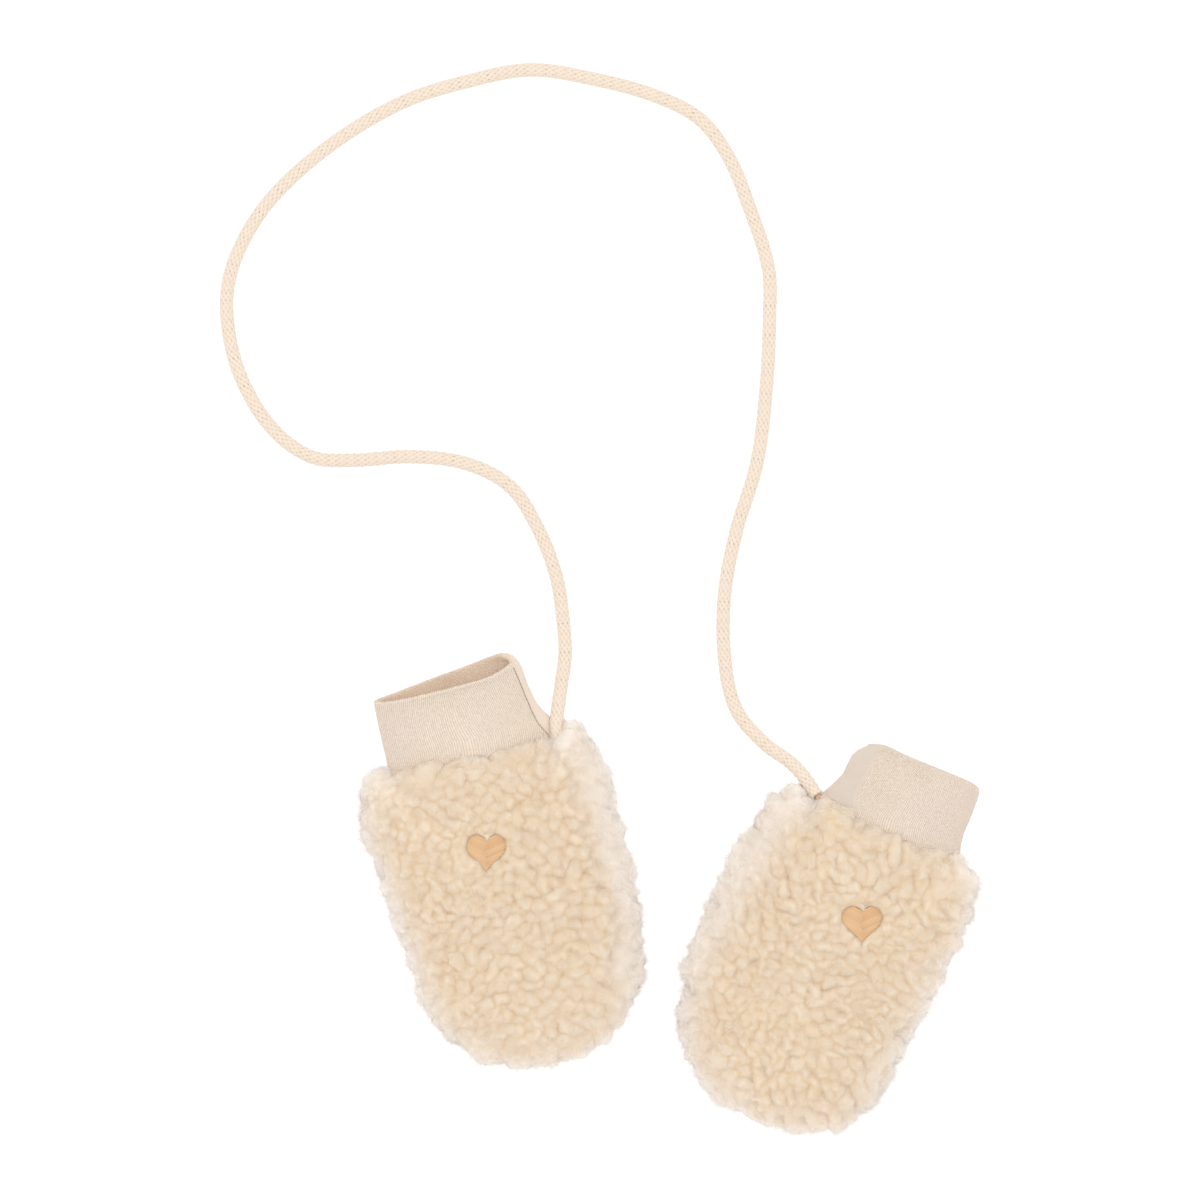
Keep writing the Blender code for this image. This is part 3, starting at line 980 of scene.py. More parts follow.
# %% [markdown]
# A point of the surface takes its height from the locks round it. Each is a dome, drawn out along
# its lean and bent, and the domes are melted into one surface by a soft maximum. The softer it
# is, the rounder the crease. The sides are melted more, because the pile is seen along its length
# there, and the palm's sides lie a little deeper, so that the back's locks hang over the seam.

# %% The domes round a point
LOCK_NEIGHBOURS = 7
WARP_REACH = 1.1
WARP_SIZE = 3.0
BEND_REACH = 3.5


def domes_round(mitten, locks, points):
    """Each point's nearest locks, its place in their frames, and how far out on their domes."""
    warped = points + WARP_REACH * slow_shift(points, WARP_SIZE, mitten.seed + 3)
    near = [
        [index for _, index, _ in locks.tree.find_n(point, LOCK_NEIGHBOURS)]
        for point in warped.tolist()
    ]
    near = np.array(near)
    away = warped[:, None, :] - locks.spots[near]
    along = (away * locks.lean[near]).sum(axis=2)
    beside = (away * locks.beside[near]).sum(axis=2)
    deep = (away**2).sum(axis=2) - along**2 - beside**2
    bent = beside + locks.bend[near] * along**2 / (1 + (along / BEND_REACH) ** 2)
    stretch = locks.stretch[near]
    out = (along / stretch) ** 2 + (bent * stretch) ** 2 + np.maximum(0, deep)
    return near, away, along, bent, out


print("domes that meet at a point:", LOCK_NEIGHBOURS)

# %% Melt the domes into one surface
CREASE_SOFTNESS = 0.32
SIDE_SOFTNESS = 0.34
SOFTNESS_SINK = 0.3
PALM_SINK = 0.7
RIPPLE_SIZE = 1.7
RIPPLE_HEIGHT = 0.14
SIDE_RIPPLE_HEIGHT = 0.3
TUFT_SIZE = 3.0
SIDE_TUFT_HEIGHT = 1.2
PALM_TUFT_LOSS = 0.9


def melted(tops, side, palm):
    """One height from the tops of the domes round each point, softer at the sides."""
    softer = SIDE_SOFTNESS * (side + palm)
    soft = CREASE_SOFTNESS + softer
    highest = soft * np.log(np.exp(tops / soft[:, None]).sum(axis=1))
    return highest - softer * SOFTNESS_SINK - PALM_SINK * palm


def ripples(mitten, points, side, palm):
    """Small waves of the pile, and tufts at the sides that are drawn out up and down."""
    seed = mitten.seed + 5
    waves = slow_noise(points, RIPPLE_SIZE, seed)
    waves *= RIPPLE_HEIGHT + SIDE_RIPPLE_HEIGHT * (side - palm)
    tufts = slow_noise(points * (1, 1, 0.35), TUFT_SIZE, seed)
    return waves + tufts * (SIDE_TUFT_HEIGHT * side - PALM_TUFT_LOSS * palm)


flat = np.zeros(1)
print("two equal domes melt into:", np.round(melted(np.zeros((1, 2)), flat, flat)[0], 2), "mm")

# %% Raise the locks
LOCK_HEIGHT = 3.9
LEAST_HEIGHT = 1.0
DIP_HEIGHT = 1.5
CREASE_SLOPE = 0.50
SIDE_SLOPE_LOSS = 0.4
CREASE_WIDTH = 0.26
LOW_RANGE = 0.5
LOCK_SHEAR = 0.14
SWELL_SIZE = 11
SWELL_HEIGHT = 0.7
DIP_WOBBLE_SIZE = 3.5
DIP_WOBBLE = 0.7
VALLEY_WOBBLE_SIZE = 8
VALLEY_WOBBLE = 2


def raise_locks(mitten, locks, points, normals):
    """The points lifted onto their locks, with what the material needs to know of each."""
    near, away, along, bent, out = domes_round(mitten, locks, points)
    side = 1 - np.abs(normals[:, 2])
    palm = (normals[:, 2] < 0) * side
    slope = CREASE_SLOPE * (1 - SIDE_SLOPE_LOSS * side)
    tops = locks.rise[near] - slope[:, None] * out / locks.pitch[near]
    ranked = np.sort(tops, axis=1)
    crease = np.exp(-(ranked[:, -1] - ranked[:, -2]) / CREASE_WIDTH)
    corner = np.exp(-(ranked[:, -1] - ranked[:, -3]) / CREASE_WIDTH)
    pick = tops.argmax(axis=1)
    rows = np.arange(len(points))
    top = near[rows, pick]
    swell = slow_noise(points, SWELL_SIZE, mitten.seed + 6) * SWELL_HEIGHT
    wobble = slow_shift(points, DIP_WOBBLE_SIZE, mitten.seed + 7) * DIP_WOBBLE
    dip = dip_at(mitten, points + wobble)
    wobble = slow_shift(points, VALLEY_WOBBLE_SIZE, mitten.seed + 4) * VALLEY_WOBBLE
    valley, beyond = valley_at(mitten, points + wobble)
    height = LOCK_HEIGHT + melted(tops, side, palm) + ripples(mitten, points, side, palm) + swell
    height = np.maximum(height - mitten.valley_depth * valley, LEAST_HEIGHT)
    height = height * (1 - dip) + DIP_HEIGHT * dip
    raised = points + normals * height[:, None]
    raised += locks.lean[top] * (LOCK_SHEAR * height * (1 - dip) * (1 - crease))[:, None]
    return {
        "points": raised,
        "crease": np.clip(0.7 * crease + 0.5 * corner, 0, 1) * (1 - dip),
        "low": np.clip((locks.rise[top] - ranked[:, -1]) / LOW_RANGE, 0, 1),
        "lock": locks.shade[top],
        "streak": bent[rows, pick],
        "run": along[rows, pick],
        "side": side,
        "beyond": np.maximum(beyond, 0.6 * valley),
        "dip": dip,
        "top": top,
        "away": away[rows, pick],
    }


print("the pile stands about", LOCK_HEIGHT, "mm off its base")


# %% [markdown]
# ## Pile and ground cloth
#
# Pile cloth is a thin knitted ground that holds the locks. The ground shows only inside the
# mitten, through the mouth, but it is what is cut and sewn, so it is a piece of its own. The pile
# is a closed body on top of it. Both start from the same grid, and get their underside by
# extruding the edge inwards in a few rings.

# %% How much of a place lies on the cuff
CUFF_HIDDEN = 10
CUFF_EASING = 8


def along_cuff(mitten, along):
    """0 on the hand, 1 where the cuff lies between the layers, and an even rise between."""
    return np.clip((along - mitten.cuff[0, 0] + CUFF_HIDDEN) / CUFF_EASING, 0, 1)


def mouth_at(mitten, points):
    """1 on the panel where it lies on the cuff, 0 away from it."""
    _, half = cuff_section(mitten, points[:, 0], points[:, 1])
    return np.clip(half / 4, 0, 1) * along_cuff(mitten, points[:, 1])


print("the cuffs go", CUFF_HIDDEN, "mm into the pile")

# %% The hollow inside
HOLLOW_RISE = {BACK: 6.0, PALM: 5.2}
SEAM_GAP = 0.3
CLOSED_SHARE = 0.87
OPEN_SHARE = 0.62
SMALLEST = 1e-6


def hollow_side(mitten, disc, upper):
    """The panel's inner surface: together at the rim, and open over the hand and round the cuff."""
    share = np.minimum(np.linalg.norm(disc, axis=1), 1)
    points, _, _ = panel_base(mitten, disc, upper)
    middle = np.array([*mitten.middle, 0])
    out = np.interp(share, RUN_SHARES, OUT_SHARES)
    rim = middle + (points - middle) / np.maximum(out, SMALLEST)[:, None]
    points = middle + (rim - middle) * share[:, None]
    rise = np.clip((CLOSED_SHARE - share) / (CLOSED_SHARE - OPEN_SHARE), 0, 1)
    offset = np.maximum(SEAM_GAP / 2, HOLLOW_RISE[upper] * np.sin(rise * math.pi / 2))
    core, half = cuff_section(mitten, points[:, 0], points[:, 1])
    sign = 1 if upper else -1
    above_seam = (core + sign * half - SEAM_HEIGHT) * sign
    clear = above_seam * along_cuff(mitten, points[:, 1]) * (half > 0)
    points[:, 2] = SEAM_HEIGHT + sign * np.maximum(offset, clear)
    return points


print("the hand space is up to", round(sum(HOLLOW_RISE.values()), 1), "mm high")

# %% Discs with an underside
def extruded_inwards(mesh, rings):
    """Adds rings inside the edge of a disc and closes them in the middle."""
    rim = [edge for edge in mesh.edges if edge.is_boundary]
    for share in rings:
        grown = bmesh.ops.extrude_edge_only(mesh, edges=rim)["geom"]
        rim = [item for item in grown if isinstance(item, bmesh.types.BMEdge)]
        for item in grown:
            if isinstance(item, bmesh.types.BMVert):
                item.co = item.co.normalized() * share
    grown = bmesh.ops.extrude_edge_only(mesh, edges=rim)["geom"]
    last = [item for item in grown if isinstance(item, bmesh.types.BMVert)]
    bmesh.ops.pointmerge(mesh, verts=last, merge_co=(0, 0, 0))


def closed_disc(cells, rings):
    """A round grid with an underside: its mesh, all its places, and how many lie on top."""
    mesh, places = flat_grid(cells, cells)
    for vert, place in zip(mesh.verts, squeezed(places).tolist()):
        vert.co = (*place, 0)
    extruded_inwards(mesh, rings)
    return mesh, np.array([vert.co[:2] for vert in mesh.verts]), len(places)


sample_disc, sample_places, on_top = closed_disc(4, (0.5,))
print("a small closed disc:", on_top, "points on top,", len(sample_places) - on_top, "below")
sample_disc.free()

# %% [markdown]
# Paler colour is painted towards the pile's edges, painted light for the light that comes
# through its fibres where they are seen along their length, but not where it lies on the cuff.
# The palm's locks that would go below the table are pressed flat on it, as the mitten's weight
# does.

# %% A layer's pile
PILE_RINGS = (0.94, 0.86, 0.74, 0.6, 0.3)
GROUND_THICKNESS = 1.0
GROUND_GAP = 0.2
# Painted edge light: a band of paler colour towards the rim, weaker where the pile lies on the
# cuff.
PALE_BAND = 0.18
PALE_FROM = 0.74
PALE_WIDTH = 0.26
MOUTH_PALE_LOSS = 0.7
TABLE_LIFT = 0.25
PRESS = 0.25
LOWEST_POINT = 0.02


def pressed_flat(points):
    """The same points, with those near the table pressed into a nearly flat face above it."""
    points = points.copy()
    low = points[:, 2] < TABLE_LIFT
    points[low, 2] = TABLE_LIFT + PRESS * np.tanh((points[low, 2] - TABLE_LIFT) * PRESS)
    points[:, 2] = np.maximum(points[:, 2], LOWEST_POINT)
    return points


def pile_body(mitten, upper):
    """The closed body of a panel's pile, and what its fibres need to know of it."""
    mesh, disc, outer = closed_disc(PILE_CELLS[upper], PILE_RINGS)
    base, normals, share = panel_base(mitten, disc[:outer], upper)
    made = raise_locks(mitten, mitten.locks, base, normals)
    # The mask of painted edge light: paler colour on the steep sides and in a band near the rim.
    painted_edge_light = made["side"] + PALE_BAND * np.clip((share - PALE_FROM) / PALE_WIDTH, 0, 1)
    made["painted_edge_light"] = painted_edge_light * (1 - MOUTH_PALE_LOSS * mouth_at(mitten, base))
    under = hollow_side(mitten, disc[outer:], upper)
    under[:, 2] += (GROUND_THICKNESS + GROUND_GAP) * (1 if upper else -1)
    points = made["points"] if upper else pressed_flat(made["points"])
    move_points(mesh, mitten.lay(np.concatenate([points, under])))
    pile = finished(f"{mitten.name}_{LAYER_NAMES[upper]}_pile", mesh)
    for key in ("crease", "low", "lock", "painted_edge_light", "beyond", "dip", "streak", "run"):
        keep_value(pile, key, np.concatenate([made[key], np.zeros(len(under))]))
    return pile, {**made, "base": base, "normals": normals}


print("the palms are pressed flat", TABLE_LIFT, "mm above the table")

# %% A layer's ground
GROUND_CELLS = 64
GROUND_REACH = 0.955
GROUND_RINGS = (0.985, 0.9, 0.8, 0.7, 0.6, 0.4, 0.2)


def ground_cloth(mitten, upper):
    """The thin knitted ground of a panel, as a closed sheet."""
    mesh, disc, outer = closed_disc(GROUND_CELLS, GROUND_RINGS)
    points = hollow_side(mitten, disc * GROUND_REACH, upper)
    points[:outer, 2] += GROUND_THICKNESS * (1 if upper else -1)
    move_points(mesh, mitten.lay(points))
    name = f"{mitten.name}_{LAYER_NAMES[upper]}"
    ground = finished(f"{name}_ground", mesh)
    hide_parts(f"{name}_panel")
    return ground


piles, grounds, made_piles = {}, {}, {}
for mitten in MITTENS:
    for upper in LAYERS:
        key = (mitten.name, upper)
        piles[key], made_piles[key] = pile_body(mitten, upper)
        grounds[key] = ground_cloth(mitten, upper)

# %% [markdown]
# ## Fibres on the locks
#
# Locks alone look like pebbles. What makes them wool is the fibres: fine strands that curl round
# each lock, and short ends that stand off and catch the light. At the outline they turn a hard
# edge into a soft one. Each strand is a thin spindle, pointed at both ends and bent in the
# middle, which takes only six faces. Thousands of them are joined into one mesh for each panel.

# %% Many thin strands in one mesh
SPINDLE_SIDES = 3
SPINDLE_POINTS = SPINDLE_SIDES + 2
SPINDLE = np.array(((0, 2, 1), (0, 3, 2), (0, 1, 3), (4, 1, 2), (4, 2, 3), (4, 3, 1)))


def strands_mesh(name, centres, widths, facing):
    """Spindles through three points each, in mm: their start, their thick middle and their tip."""
    count = len(centres)
    run = unit(centres[:, 2] - centres[:, 0])
    across = unit(np.cross(run, facing))
    other = np.cross(run, across)
    turns = np.arange(SPINDLE_SIDES)[:, None] * math.tau / SPINDLE_SIDES
    ring = across[:, None, :] * np.cos(turns) + other[:, None, :] * np.sin(turns)
    middle = centres[:, 1:2] + ring * widths[:, None, None] / 2
    points = np.concatenate([centres[:, 0:1], middle, centres[:, 2:3]], axis=1)
    faces = SPINDLE[None] + np.arange(count)[:, None, None] * SPINDLE_POINTS
    data = bpy.data.meshes.new(name)
    data.from_pydata((points.reshape(-1, 3) * MM).tolist(), [], faces.reshape(-1, 3).tolist())
    return data


print("faces of a strand:", len(SPINDLE))

# %% Where strands grow, and which way
FIBRES = {BACK: 32500, PALM: 8000}
ROOT_WEIGHT = 0.4
SIDE_ROOT_WEIGHT = 0.5
CREASE_BALD = 0.6
SIDE_CREASE_BALD = 0.4
BARE_DIP = 0.45
LOWEST_FIBRE = 1.5
CURL_SHARE = 0.9
LEAN_SHARE = 0.7
HEADING_SPREAD = 0.45


def fibre_roots(made, upper, draws):
    """Picks the pile's points that get a strand: more at the sides, fewer in creases."""
    hidden = made["crease"] * (CREASE_BALD + SIDE_CREASE_BALD * made["side"])
    weight = (ROOT_WEIGHT + SIDE_ROOT_WEIGHT * made["side"]) * (1 - hidden)
    weight = weight * (made["dip"] < BARE_DIP)
    if not upper:
        weight = weight * (made["points"][:, 2] > LOWEST_FIBRE)
    return draws.choice(len(weight), FIBRES[upper], p=weight / weight.sum())


def fibre_headings(locks, facing, top, away, draws):
    """The way that each strand runs: round its lock, along the lock's lean, and some at random."""
    curl = np.cross(facing, away) * draws.choice((-1, 1), locks.count)[top][:, None]
    heading = unit(curl) * CURL_SHARE + locks.lean[top] * LEAN_SHARE
    heading = heading + draws.normal(0, HEADING_SPREAD, (len(top), 3))
    return unit(heading - facing * (heading * facing).sum(axis=1, keepdims=True))


print("strands of a mitten:", sum(FIBRES.values()))

# %% How far strands lift off
LOOSENESS = {BACK: 1.0, PALM: 0.35}
LIFT = 0.12
LOOSE_LIFT = 0.35
FREE_SHARE = 0.01
LOOSE_FREE_SHARE = 0.34
FREE_LIFT = (0.5, 2.1)
FREE_THICKNESS = 0.7
SIDE_FREE_THICKNESS = 0.9
FIBRE_WIDTH = (0.10, 0.20)


def fibre_lifts(made, picked, upper, draws):
    """How far each strand's tip lifts off and how thick it is, in mm. A few stand quite free."""
    count = len(picked)
    side = made["side"][picked]
    loose = LOOSENESS[upper] * side
    lift = np.abs(draws.normal(0, 1, count)) * (LIFT + LOOSE_LIFT * loose)
    free_share = FREE_SHARE + LOOSE_FREE_SHARE * loose * (1 - made["crease"][picked])
    free = draws.uniform(0, 1, count) < free_share
    lift += free * draws.uniform(*FREE_LIFT, count)
    thicker = np.where(free, FREE_THICKNESS + SIDE_FREE_THICKNESS * side, 1.0)
    return lift, draws.uniform(*FIBRE_WIDTH, count) * thicker


print("free strands lift by", FREE_LIFT, "mm")

# %% Fibres of a panel
FIBRE_SEED = {BACK: 100, PALM: 200}
FIBRE_LENGTH = (1.3, 3.6)
FIBRE_BEND = 0.22
ROOT_DEPTH = 0.15
MIDDLE_LIFT = 0.4
FIBRE_SINK = 0.05


def panel_fibres(mitten, upper):
    """Strands that curl round the locks and lift off at their tips, more of them at the sides."""
    made = made_piles[(mitten.name, upper)]
    draws = np.random.default_rng(mitten.seed + FIBRE_SEED[upper])
    picked = fibre_roots(made, upper, draws)
    base, facing, top, away = (made[key][picked] for key in ("base", "normals", "top", "away"))
    heading = fibre_headings(mitten.locks, facing, top, away, draws)
    inwards = -unit(away)
    half = draws.uniform(*FIBRE_LENGTH, len(picked))[:, None] / 2
    rings = []
    for step in (-1, 0, 1):
        path = base + (heading * step + inwards * FIBRE_BEND * step * step) * half
        rings.append(raise_locks(mitten, mitten.locks, path, facing)["points"])
    lift, thick = fibre_lifts(made, picked, upper, draws)
    rings[0] -= facing * ROOT_DEPTH
    rings[1] += facing * (FIBRE_SINK + MIDDLE_LIFT * lift)[:, None]
    rings[2] += facing * (lift - FIBRE_SINK)[:, None]
    centres = np.stack(rings, axis=1)
    centres[:, :, 2] = np.maximum(centres[:, :, 2], ROOT_DEPTH)
    turned = mitten.lay(facing) - mitten.lay(facing * 0)
    name = f"{mitten.name}_{LAYER_NAMES[upper]}_fibres"
    data = strands_mesh(name, mitten.lay(centres), thick, turned)
    item = placed(name, data, smooth=False)
    for key in ("crease", "low", "lock", "painted_edge_light", "beyond"):
        keep_value(item, key, np.repeat(made[key][picked], SPINDLE_POINTS))
    return item


fibres = {
    (mitten.name, upper): panel_fibres(mitten, upper) for mitten in MITTENS for upper in LAYERS
}

# %% [markdown]
# ## The cuffs
#
# A cuff is a tube of fine jersey, folded double so that its rim is a soft fold and no cut edge
# shows. It comes out from under the pile, flattened by its own weight, with one side seam. The
# grid's first direction goes round the tube. Its second goes up the outside, over the fold, down
# the inside and back to the start, so that the wall is a closed body once both seams are welded.

# %% Round a flat section
CUFF_AROUND = 160
TYPICAL_SQUARENESS = 2.3
TYPICAL_HALVES = (30.5, 6)
SECTION_SAMPLES = 2001


def on_section(angle, squareness):
    """How far to the side and how far up a point of the section is, from -1 to 1."""
    cos, sin = np.cos(angle), np.sin(angle)
    power = 2 / squareness
    return np.sign(cos) * np.abs(cos) ** power, np.sign(sin) * np.abs(sin) ** power


def even_angles(shares):
    """Angles that walk round a flat section in even steps."""
    fine = np.linspace(0, math.tau, SECTION_SAMPLES)
    side, rise = on_section(fine, TYPICAL_SQUARENESS)
    steps = np.hypot(np.diff(side) * TYPICAL_HALVES[0], np.diff(rise) * TYPICAL_HALVES[1])
    lengths = np.concatenate([[0], np.cumsum(steps)])
    return np.interp(shares * lengths[-1], lengths, fine)


print("an eighth of the way round, in degrees:", np.round(np.degrees(even_angles(0.125))))

# %% Up, over the fold and down
CUFF_OUTER = 44
CUFF_LIP = 8
CUFF_INNER = 20
CUFF_WALL = 2.0
FOLD_REACH = 1.1


def cuff_profile():
    """The share of the way up, inset and reach of each ring: up, over the fold and back down."""
    rows = [(share, 0.0, 0.0) for share in np.linspace(0, 1, CUFF_OUTER)]
    for step in range(1, CUFF_LIP):
        bend = math.pi * step / CUFF_LIP
        rows.append((1, CUFF_WALL * (1 - math.cos(bend)) / 2, FOLD_REACH * math.sin(bend)))
    rows += [(share, CUFF_WALL, 0.0) for share in np.linspace(1, 0, CUFF_INNER)]
    rows.append(rows[0])
    return np.array(rows)


print("rings of a cuff:", len(cuff_profile()) - 1)

# %% The cuff's wall
RIM_BLEND = 4
RIM_SQUARENESS = 2.1


def cuff_points(mitten, angle, share, inset, reach):
    """Points of the cuff's wall in the mitten's frame."""
    rows = mitten.cuff
    base, top = rows[0, 0], rows[-1, 0]
    degrees = (np.degrees(angle) + 90) % 360 - 90
    end = np.interp(degrees, mitten.rim_line[:, 0], mitten.rim_line[:, 1])
    along = base + (top - base) * share + (end - top) * share**RIM_BLEND
    sizes = [np.interp(along, rows[:, 0], rows[:, column]) for column in (1, 2, 3, 4)]
    low_side, high_side, low, high = sizes
    squareness = CUFF_SQUARENESS + (RIM_SQUARENESS - CUFF_SQUARENESS) * share**2
    side, rise = on_section(angle, squareness)
    across = (low_side + high_side) / 2 + side * ((high_side - low_side) / 2 - inset)
    up = (low + high) / 2 + rise * ((high - low) / 2 - inset)
    return np.stack([across, along + reach, up], axis=-1)


start = cuff_points(left, 0.0, 0.0, 0.0, 0.0)
print("the left cuff's wall starts at", np.round(start, 1), "mm in its mitten's frame")

# %% [markdown]
# The wall is thicker along the cuff's seam side, and soft waves run over it. Its material needs
# four numbers at each point: whether it is inside, how far past the side seam it lies, how far up
# it is, and how far it has turned away over the cuff's rounded side.

# %% The cuff's tube
FOLD_THICKENING = 0.5
FOLD_NARROWNESS = 6
FAR_FROM_SEAM = 20.0
BROAD_WAVE_SIZE = 13
BROAD_WAVE_HEIGHT = 0.6
SMALL_WAVE_SIZE = 6
SMALL_WAVE_HEIGHT = 0.2
CUFF_WELD = 0.01 * MM


def cuff_waves(mitten, points):
    """Two sizes of soft waves in the cloth, in millimetres."""
    broad = slow_noise(points * (1, 1, 0.4), BROAD_WAVE_SIZE, mitten.seed + 9)
    small = slow_noise(points * (0.45, 1, 0.4), SMALL_WAVE_SIZE, mitten.seed + 8)
    return broad * BROAD_WAVE_HEIGHT + small * SMALL_WAVE_HEIGHT


def cuff_tube(mitten):
    """The cuff as a closed wall."""
    profile = cuff_profile()
    rings = len(profile) - 1
    mesh, places = flat_grid(CUFF_AROUND, rings)
    row = np.round(places[:, 1] * rings).astype(int)
    angle = even_angles(places[:, 0])
    share, inset, reach = profile[row].T
    thick = 1 + FOLD_THICKENING * np.maximum(np.cos(angle), 0) ** FOLD_NARROWNESS
    points = cuff_points(mitten, angle, share, inset * thick, reach)
    seam = np.interp(points[:, 1], mitten.seam_line[:, 0], mitten.seam_line[:, 1])
    past = (points[:, 0] - seam) * (1 if mitten is left else -1)
    waves = cuff_waves(mitten, points)
    points[:, 2] += waves * np.sin(angle) * np.clip(share * 5 - 1, 0, 1)
    move_points(mesh, mitten.lay(points))
    values = {
        "inside": np.clip((inset - CUFF_WALL * 0.6) / (CUFF_WALL * 0.3), 0, 1),
        "past_seam": np.where(np.sin(angle) > 0, past, FAR_FROM_SEAM * np.sign(past)),
        "up": share * (mitten.cuff[-1, 0] - mitten.cuff[0, 0]) + reach,
        "turned": np.abs(np.cos(angle)) ** 3 * (inset < CUFF_WALL / 2),
    }
    layers = {key: mesh.verts.layers.float.new(key) for key in values}
    for key, layer in layers.items():
        for vert, value in zip(mesh.verts, values[key].tolist()):
            vert[layer] = value
    bmesh.ops.remove_doubles(mesh, verts=mesh.verts, dist=CUFF_WELD)
    cuff = finished(f"{mitten.name}_cuff_jersey", mesh)
    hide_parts(f"{mitten.name}_cuff")
    return cuff


cuffs = {mitten.name: cuff_tube(mitten) for mitten in MITTENS}

# %% [markdown]
# ## The sewn motif
#
# A small heart in satin stitch sits low in the pile: long threads side by side, that run from a
# middle line out to the edge. The threads catch the light because they all lie one way, so each
# one is modelled, as a thin flattened strand that dives into the ground at both ends.

# %% Where the heart's threads run
THREAD_PITCH = 0.74
THREAD_SLANT = 0.45
THREAD_SCAN = 1.7
THREAD_SCAN_STEPS = 341
THREAD_OVERLAP = 0.11
THREAD_LEVELS = (-1.9, 1.25)
FEWEST_STEPS = 24


def heart_threads():
    """The start and end of each thread, in the heart's own frame in mm."""
    threads = []
    steps = np.linspace(0, THREAD_SCAN, THREAD_SCAN_STEPS)
    for side in (-1, 1):
        for level in np.arange(*THREAD_LEVELS, THREAD_PITCH / HEART_SIZE):
            x = side * (steps - THREAD_OVERLAP)
            y = level + steps * THREAD_SLANT
            inside = np.flatnonzero(heart_share(x, y) < 1)
            if len(inside) < FEWEST_STEPS:
                continue
            ends = [inside[0], inside[-1]]
            threads.append([(x[end] * HEART_SIZE, y[end] * HEART_SIZE) for end in ends])
    return np.array(threads)


print("threads in a heart:", len(heart_threads()))

# %% Round threads in one mesh
THREAD_SIDES = 6
THREAD_ARCH = 0.35
THREAD_END = 0.55
THREAD_SWELL = 0.45


def thread_faces(count, rings):
    """The faces of that many threads: a cap at each end and a band between every two rings."""
    faces = []
    block = rings * THREAD_SIDES
    for start in range(0, count * block, block):
        faces.append(tuple(start + corner for corner in range(THREAD_SIDES)))
        last = start + block - THREAD_SIDES
        faces.append(tuple(last + corner for corner in reversed(range(THREAD_SIDES))))
        for low in range(start, last, THREAD_SIDES):
            high = low + THREAD_SIDES
            for corner in range(THREAD_SIDES):
                after = (corner + 1) % THREAD_SIDES
                faces.append((low + corner, high + corner, high + after, low + after))
    return faces


def threads_mesh(name, centres, across, over):
    """Round threads along rows of points, thinner at their ends, with their flanks marked, where
    the heart's material paints shade.
    """
    count, rings = centres.shape[:2]
    run = unit(np.gradient(centres, axis=1))
    beside = unit(np.cross(run, (0, 0, 1.0)))
    upwards = np.cross(beside, run)
    turns = np.arange(THREAD_SIDES) * math.tau / THREAD_SIDES
    pinch = THREAD_END + THREAD_SWELL * np.sin(np.linspace(0, math.pi, rings)) ** THREAD_ARCH
    corners = (
        beside[:, :, None, :] * np.cos(turns)[None, None, :, None] * across
        + upwards[:, :, None, :] * np.sin(turns)[None, None, :, None] * over
    ) * pinch[None, :, None, None]
    body = centres[:, :, None, :] + corners
    data = bpy.data.meshes.new(name)
    data.from_pydata((body.reshape(-1, 3) * MM).tolist(), [], thread_faces(count, rings))
    threads = placed(name, data)
    keep_value(threads, "edge", np.broadcast_to(np.abs(np.cos(turns)), body.shape[:3]).reshape(-1))
    shades = np.random.default_rng(count).uniform(0, 1, count)
    keep_value(threads, "shade", np.repeat(shades, rings * THREAD_SIDES))
    return threads


print("faces of a thread with two rings:", len(thread_faces(1, 2)))

# %% The hearts
THREAD_RINGS = 9
HEART_FLOOR = 25.1
THREAD_RISE = 0.55
THREAD_HALF_WIDTH = THREAD_PITCH * 0.56
THREAD_HALF_HEIGHT = 0.34


def sewn_heart(mitten):
    """All the threads of a heart as one mesh, on the floor of the dip."""
    threads = heart_threads()
    part = np.linspace(0, 1, THREAD_RINGS)[None, :, None]
    line = threads[:, None, 0, :] * (1 - part) + threads[:, None, 1, :] * part
    cos, sin = math.cos(-mitten.turn), math.sin(-mitten.turn)
    across = mitten.motif[0] + line[..., 0] * cos - line[..., 1] * sin
    along = mitten.motif[1] + line[..., 0] * sin + line[..., 1] * cos
    up = HEART_FLOOR + THREAD_RISE * np.sin(part[..., 0] * math.pi) ** THREAD_ARCH
    centres = mitten.lay(np.stack([across, along, np.broadcast_to(up, across.shape)], axis=-1))
    return threads_mesh(f"{mitten.name}_heart", centres, THREAD_HALF_WIDTH, THREAD_HALF_HEIGHT)


hearts = {mitten.name: sewn_heart(mitten) for mitten in MITTENS}

# %% [markdown]
# ## The tack on the cord
#
# The cord's right end is held by a few brown stitches over its tip, into the corner of the cuff.
# They cross at slightly different angles, as hand stitches do.

# %% Tack stitches
TACK_SPOT = (57.0, 37.2, 15.6)
TACK_STITCHES = 5
TACK_BEARING = 0.75
TACK_SPREAD = 0.30
TACK_DIVE = -0.12
TACK_REACH = 1.3
TACK_HALF_WIDTH = 0.65
TACK_DROP = 1.2
TACK_THICKNESS = 0.22


def tack_centres():
    """Points along each stitch: side by side over the cord's tip, with both ends pulled down."""
    turns = np.random.default_rng(5).normal(TACK_BEARING, TACK_SPREAD, TACK_STITCHES)
    dive = np.full(TACK_STITCHES, TACK_DIVE)
    heading = np.stack([np.cos(turns), np.sin(turns), dive], axis=1)
    beside = np.stack([-np.sin(turns), np.cos(turns), turns * 0], axis=1)
    offset = np.linspace(-TACK_HALF_WIDTH, TACK_HALF_WIDTH, TACK_STITCHES)[:, None] * beside
    part = np.linspace(-1, 1, THREAD_RINGS)
    run = heading[:, None] * (part * TACK_REACH)[None, :, None]
    centres = np.array(TACK_SPOT) + offset[:, None] + run
    centres[:, :, 2] -= TACK_DROP * part[None, :] ** 4
    return centres


tack = threads_mesh("cord_tack", tack_centres(), TACK_THICKNESS, TACK_THICKNESS)
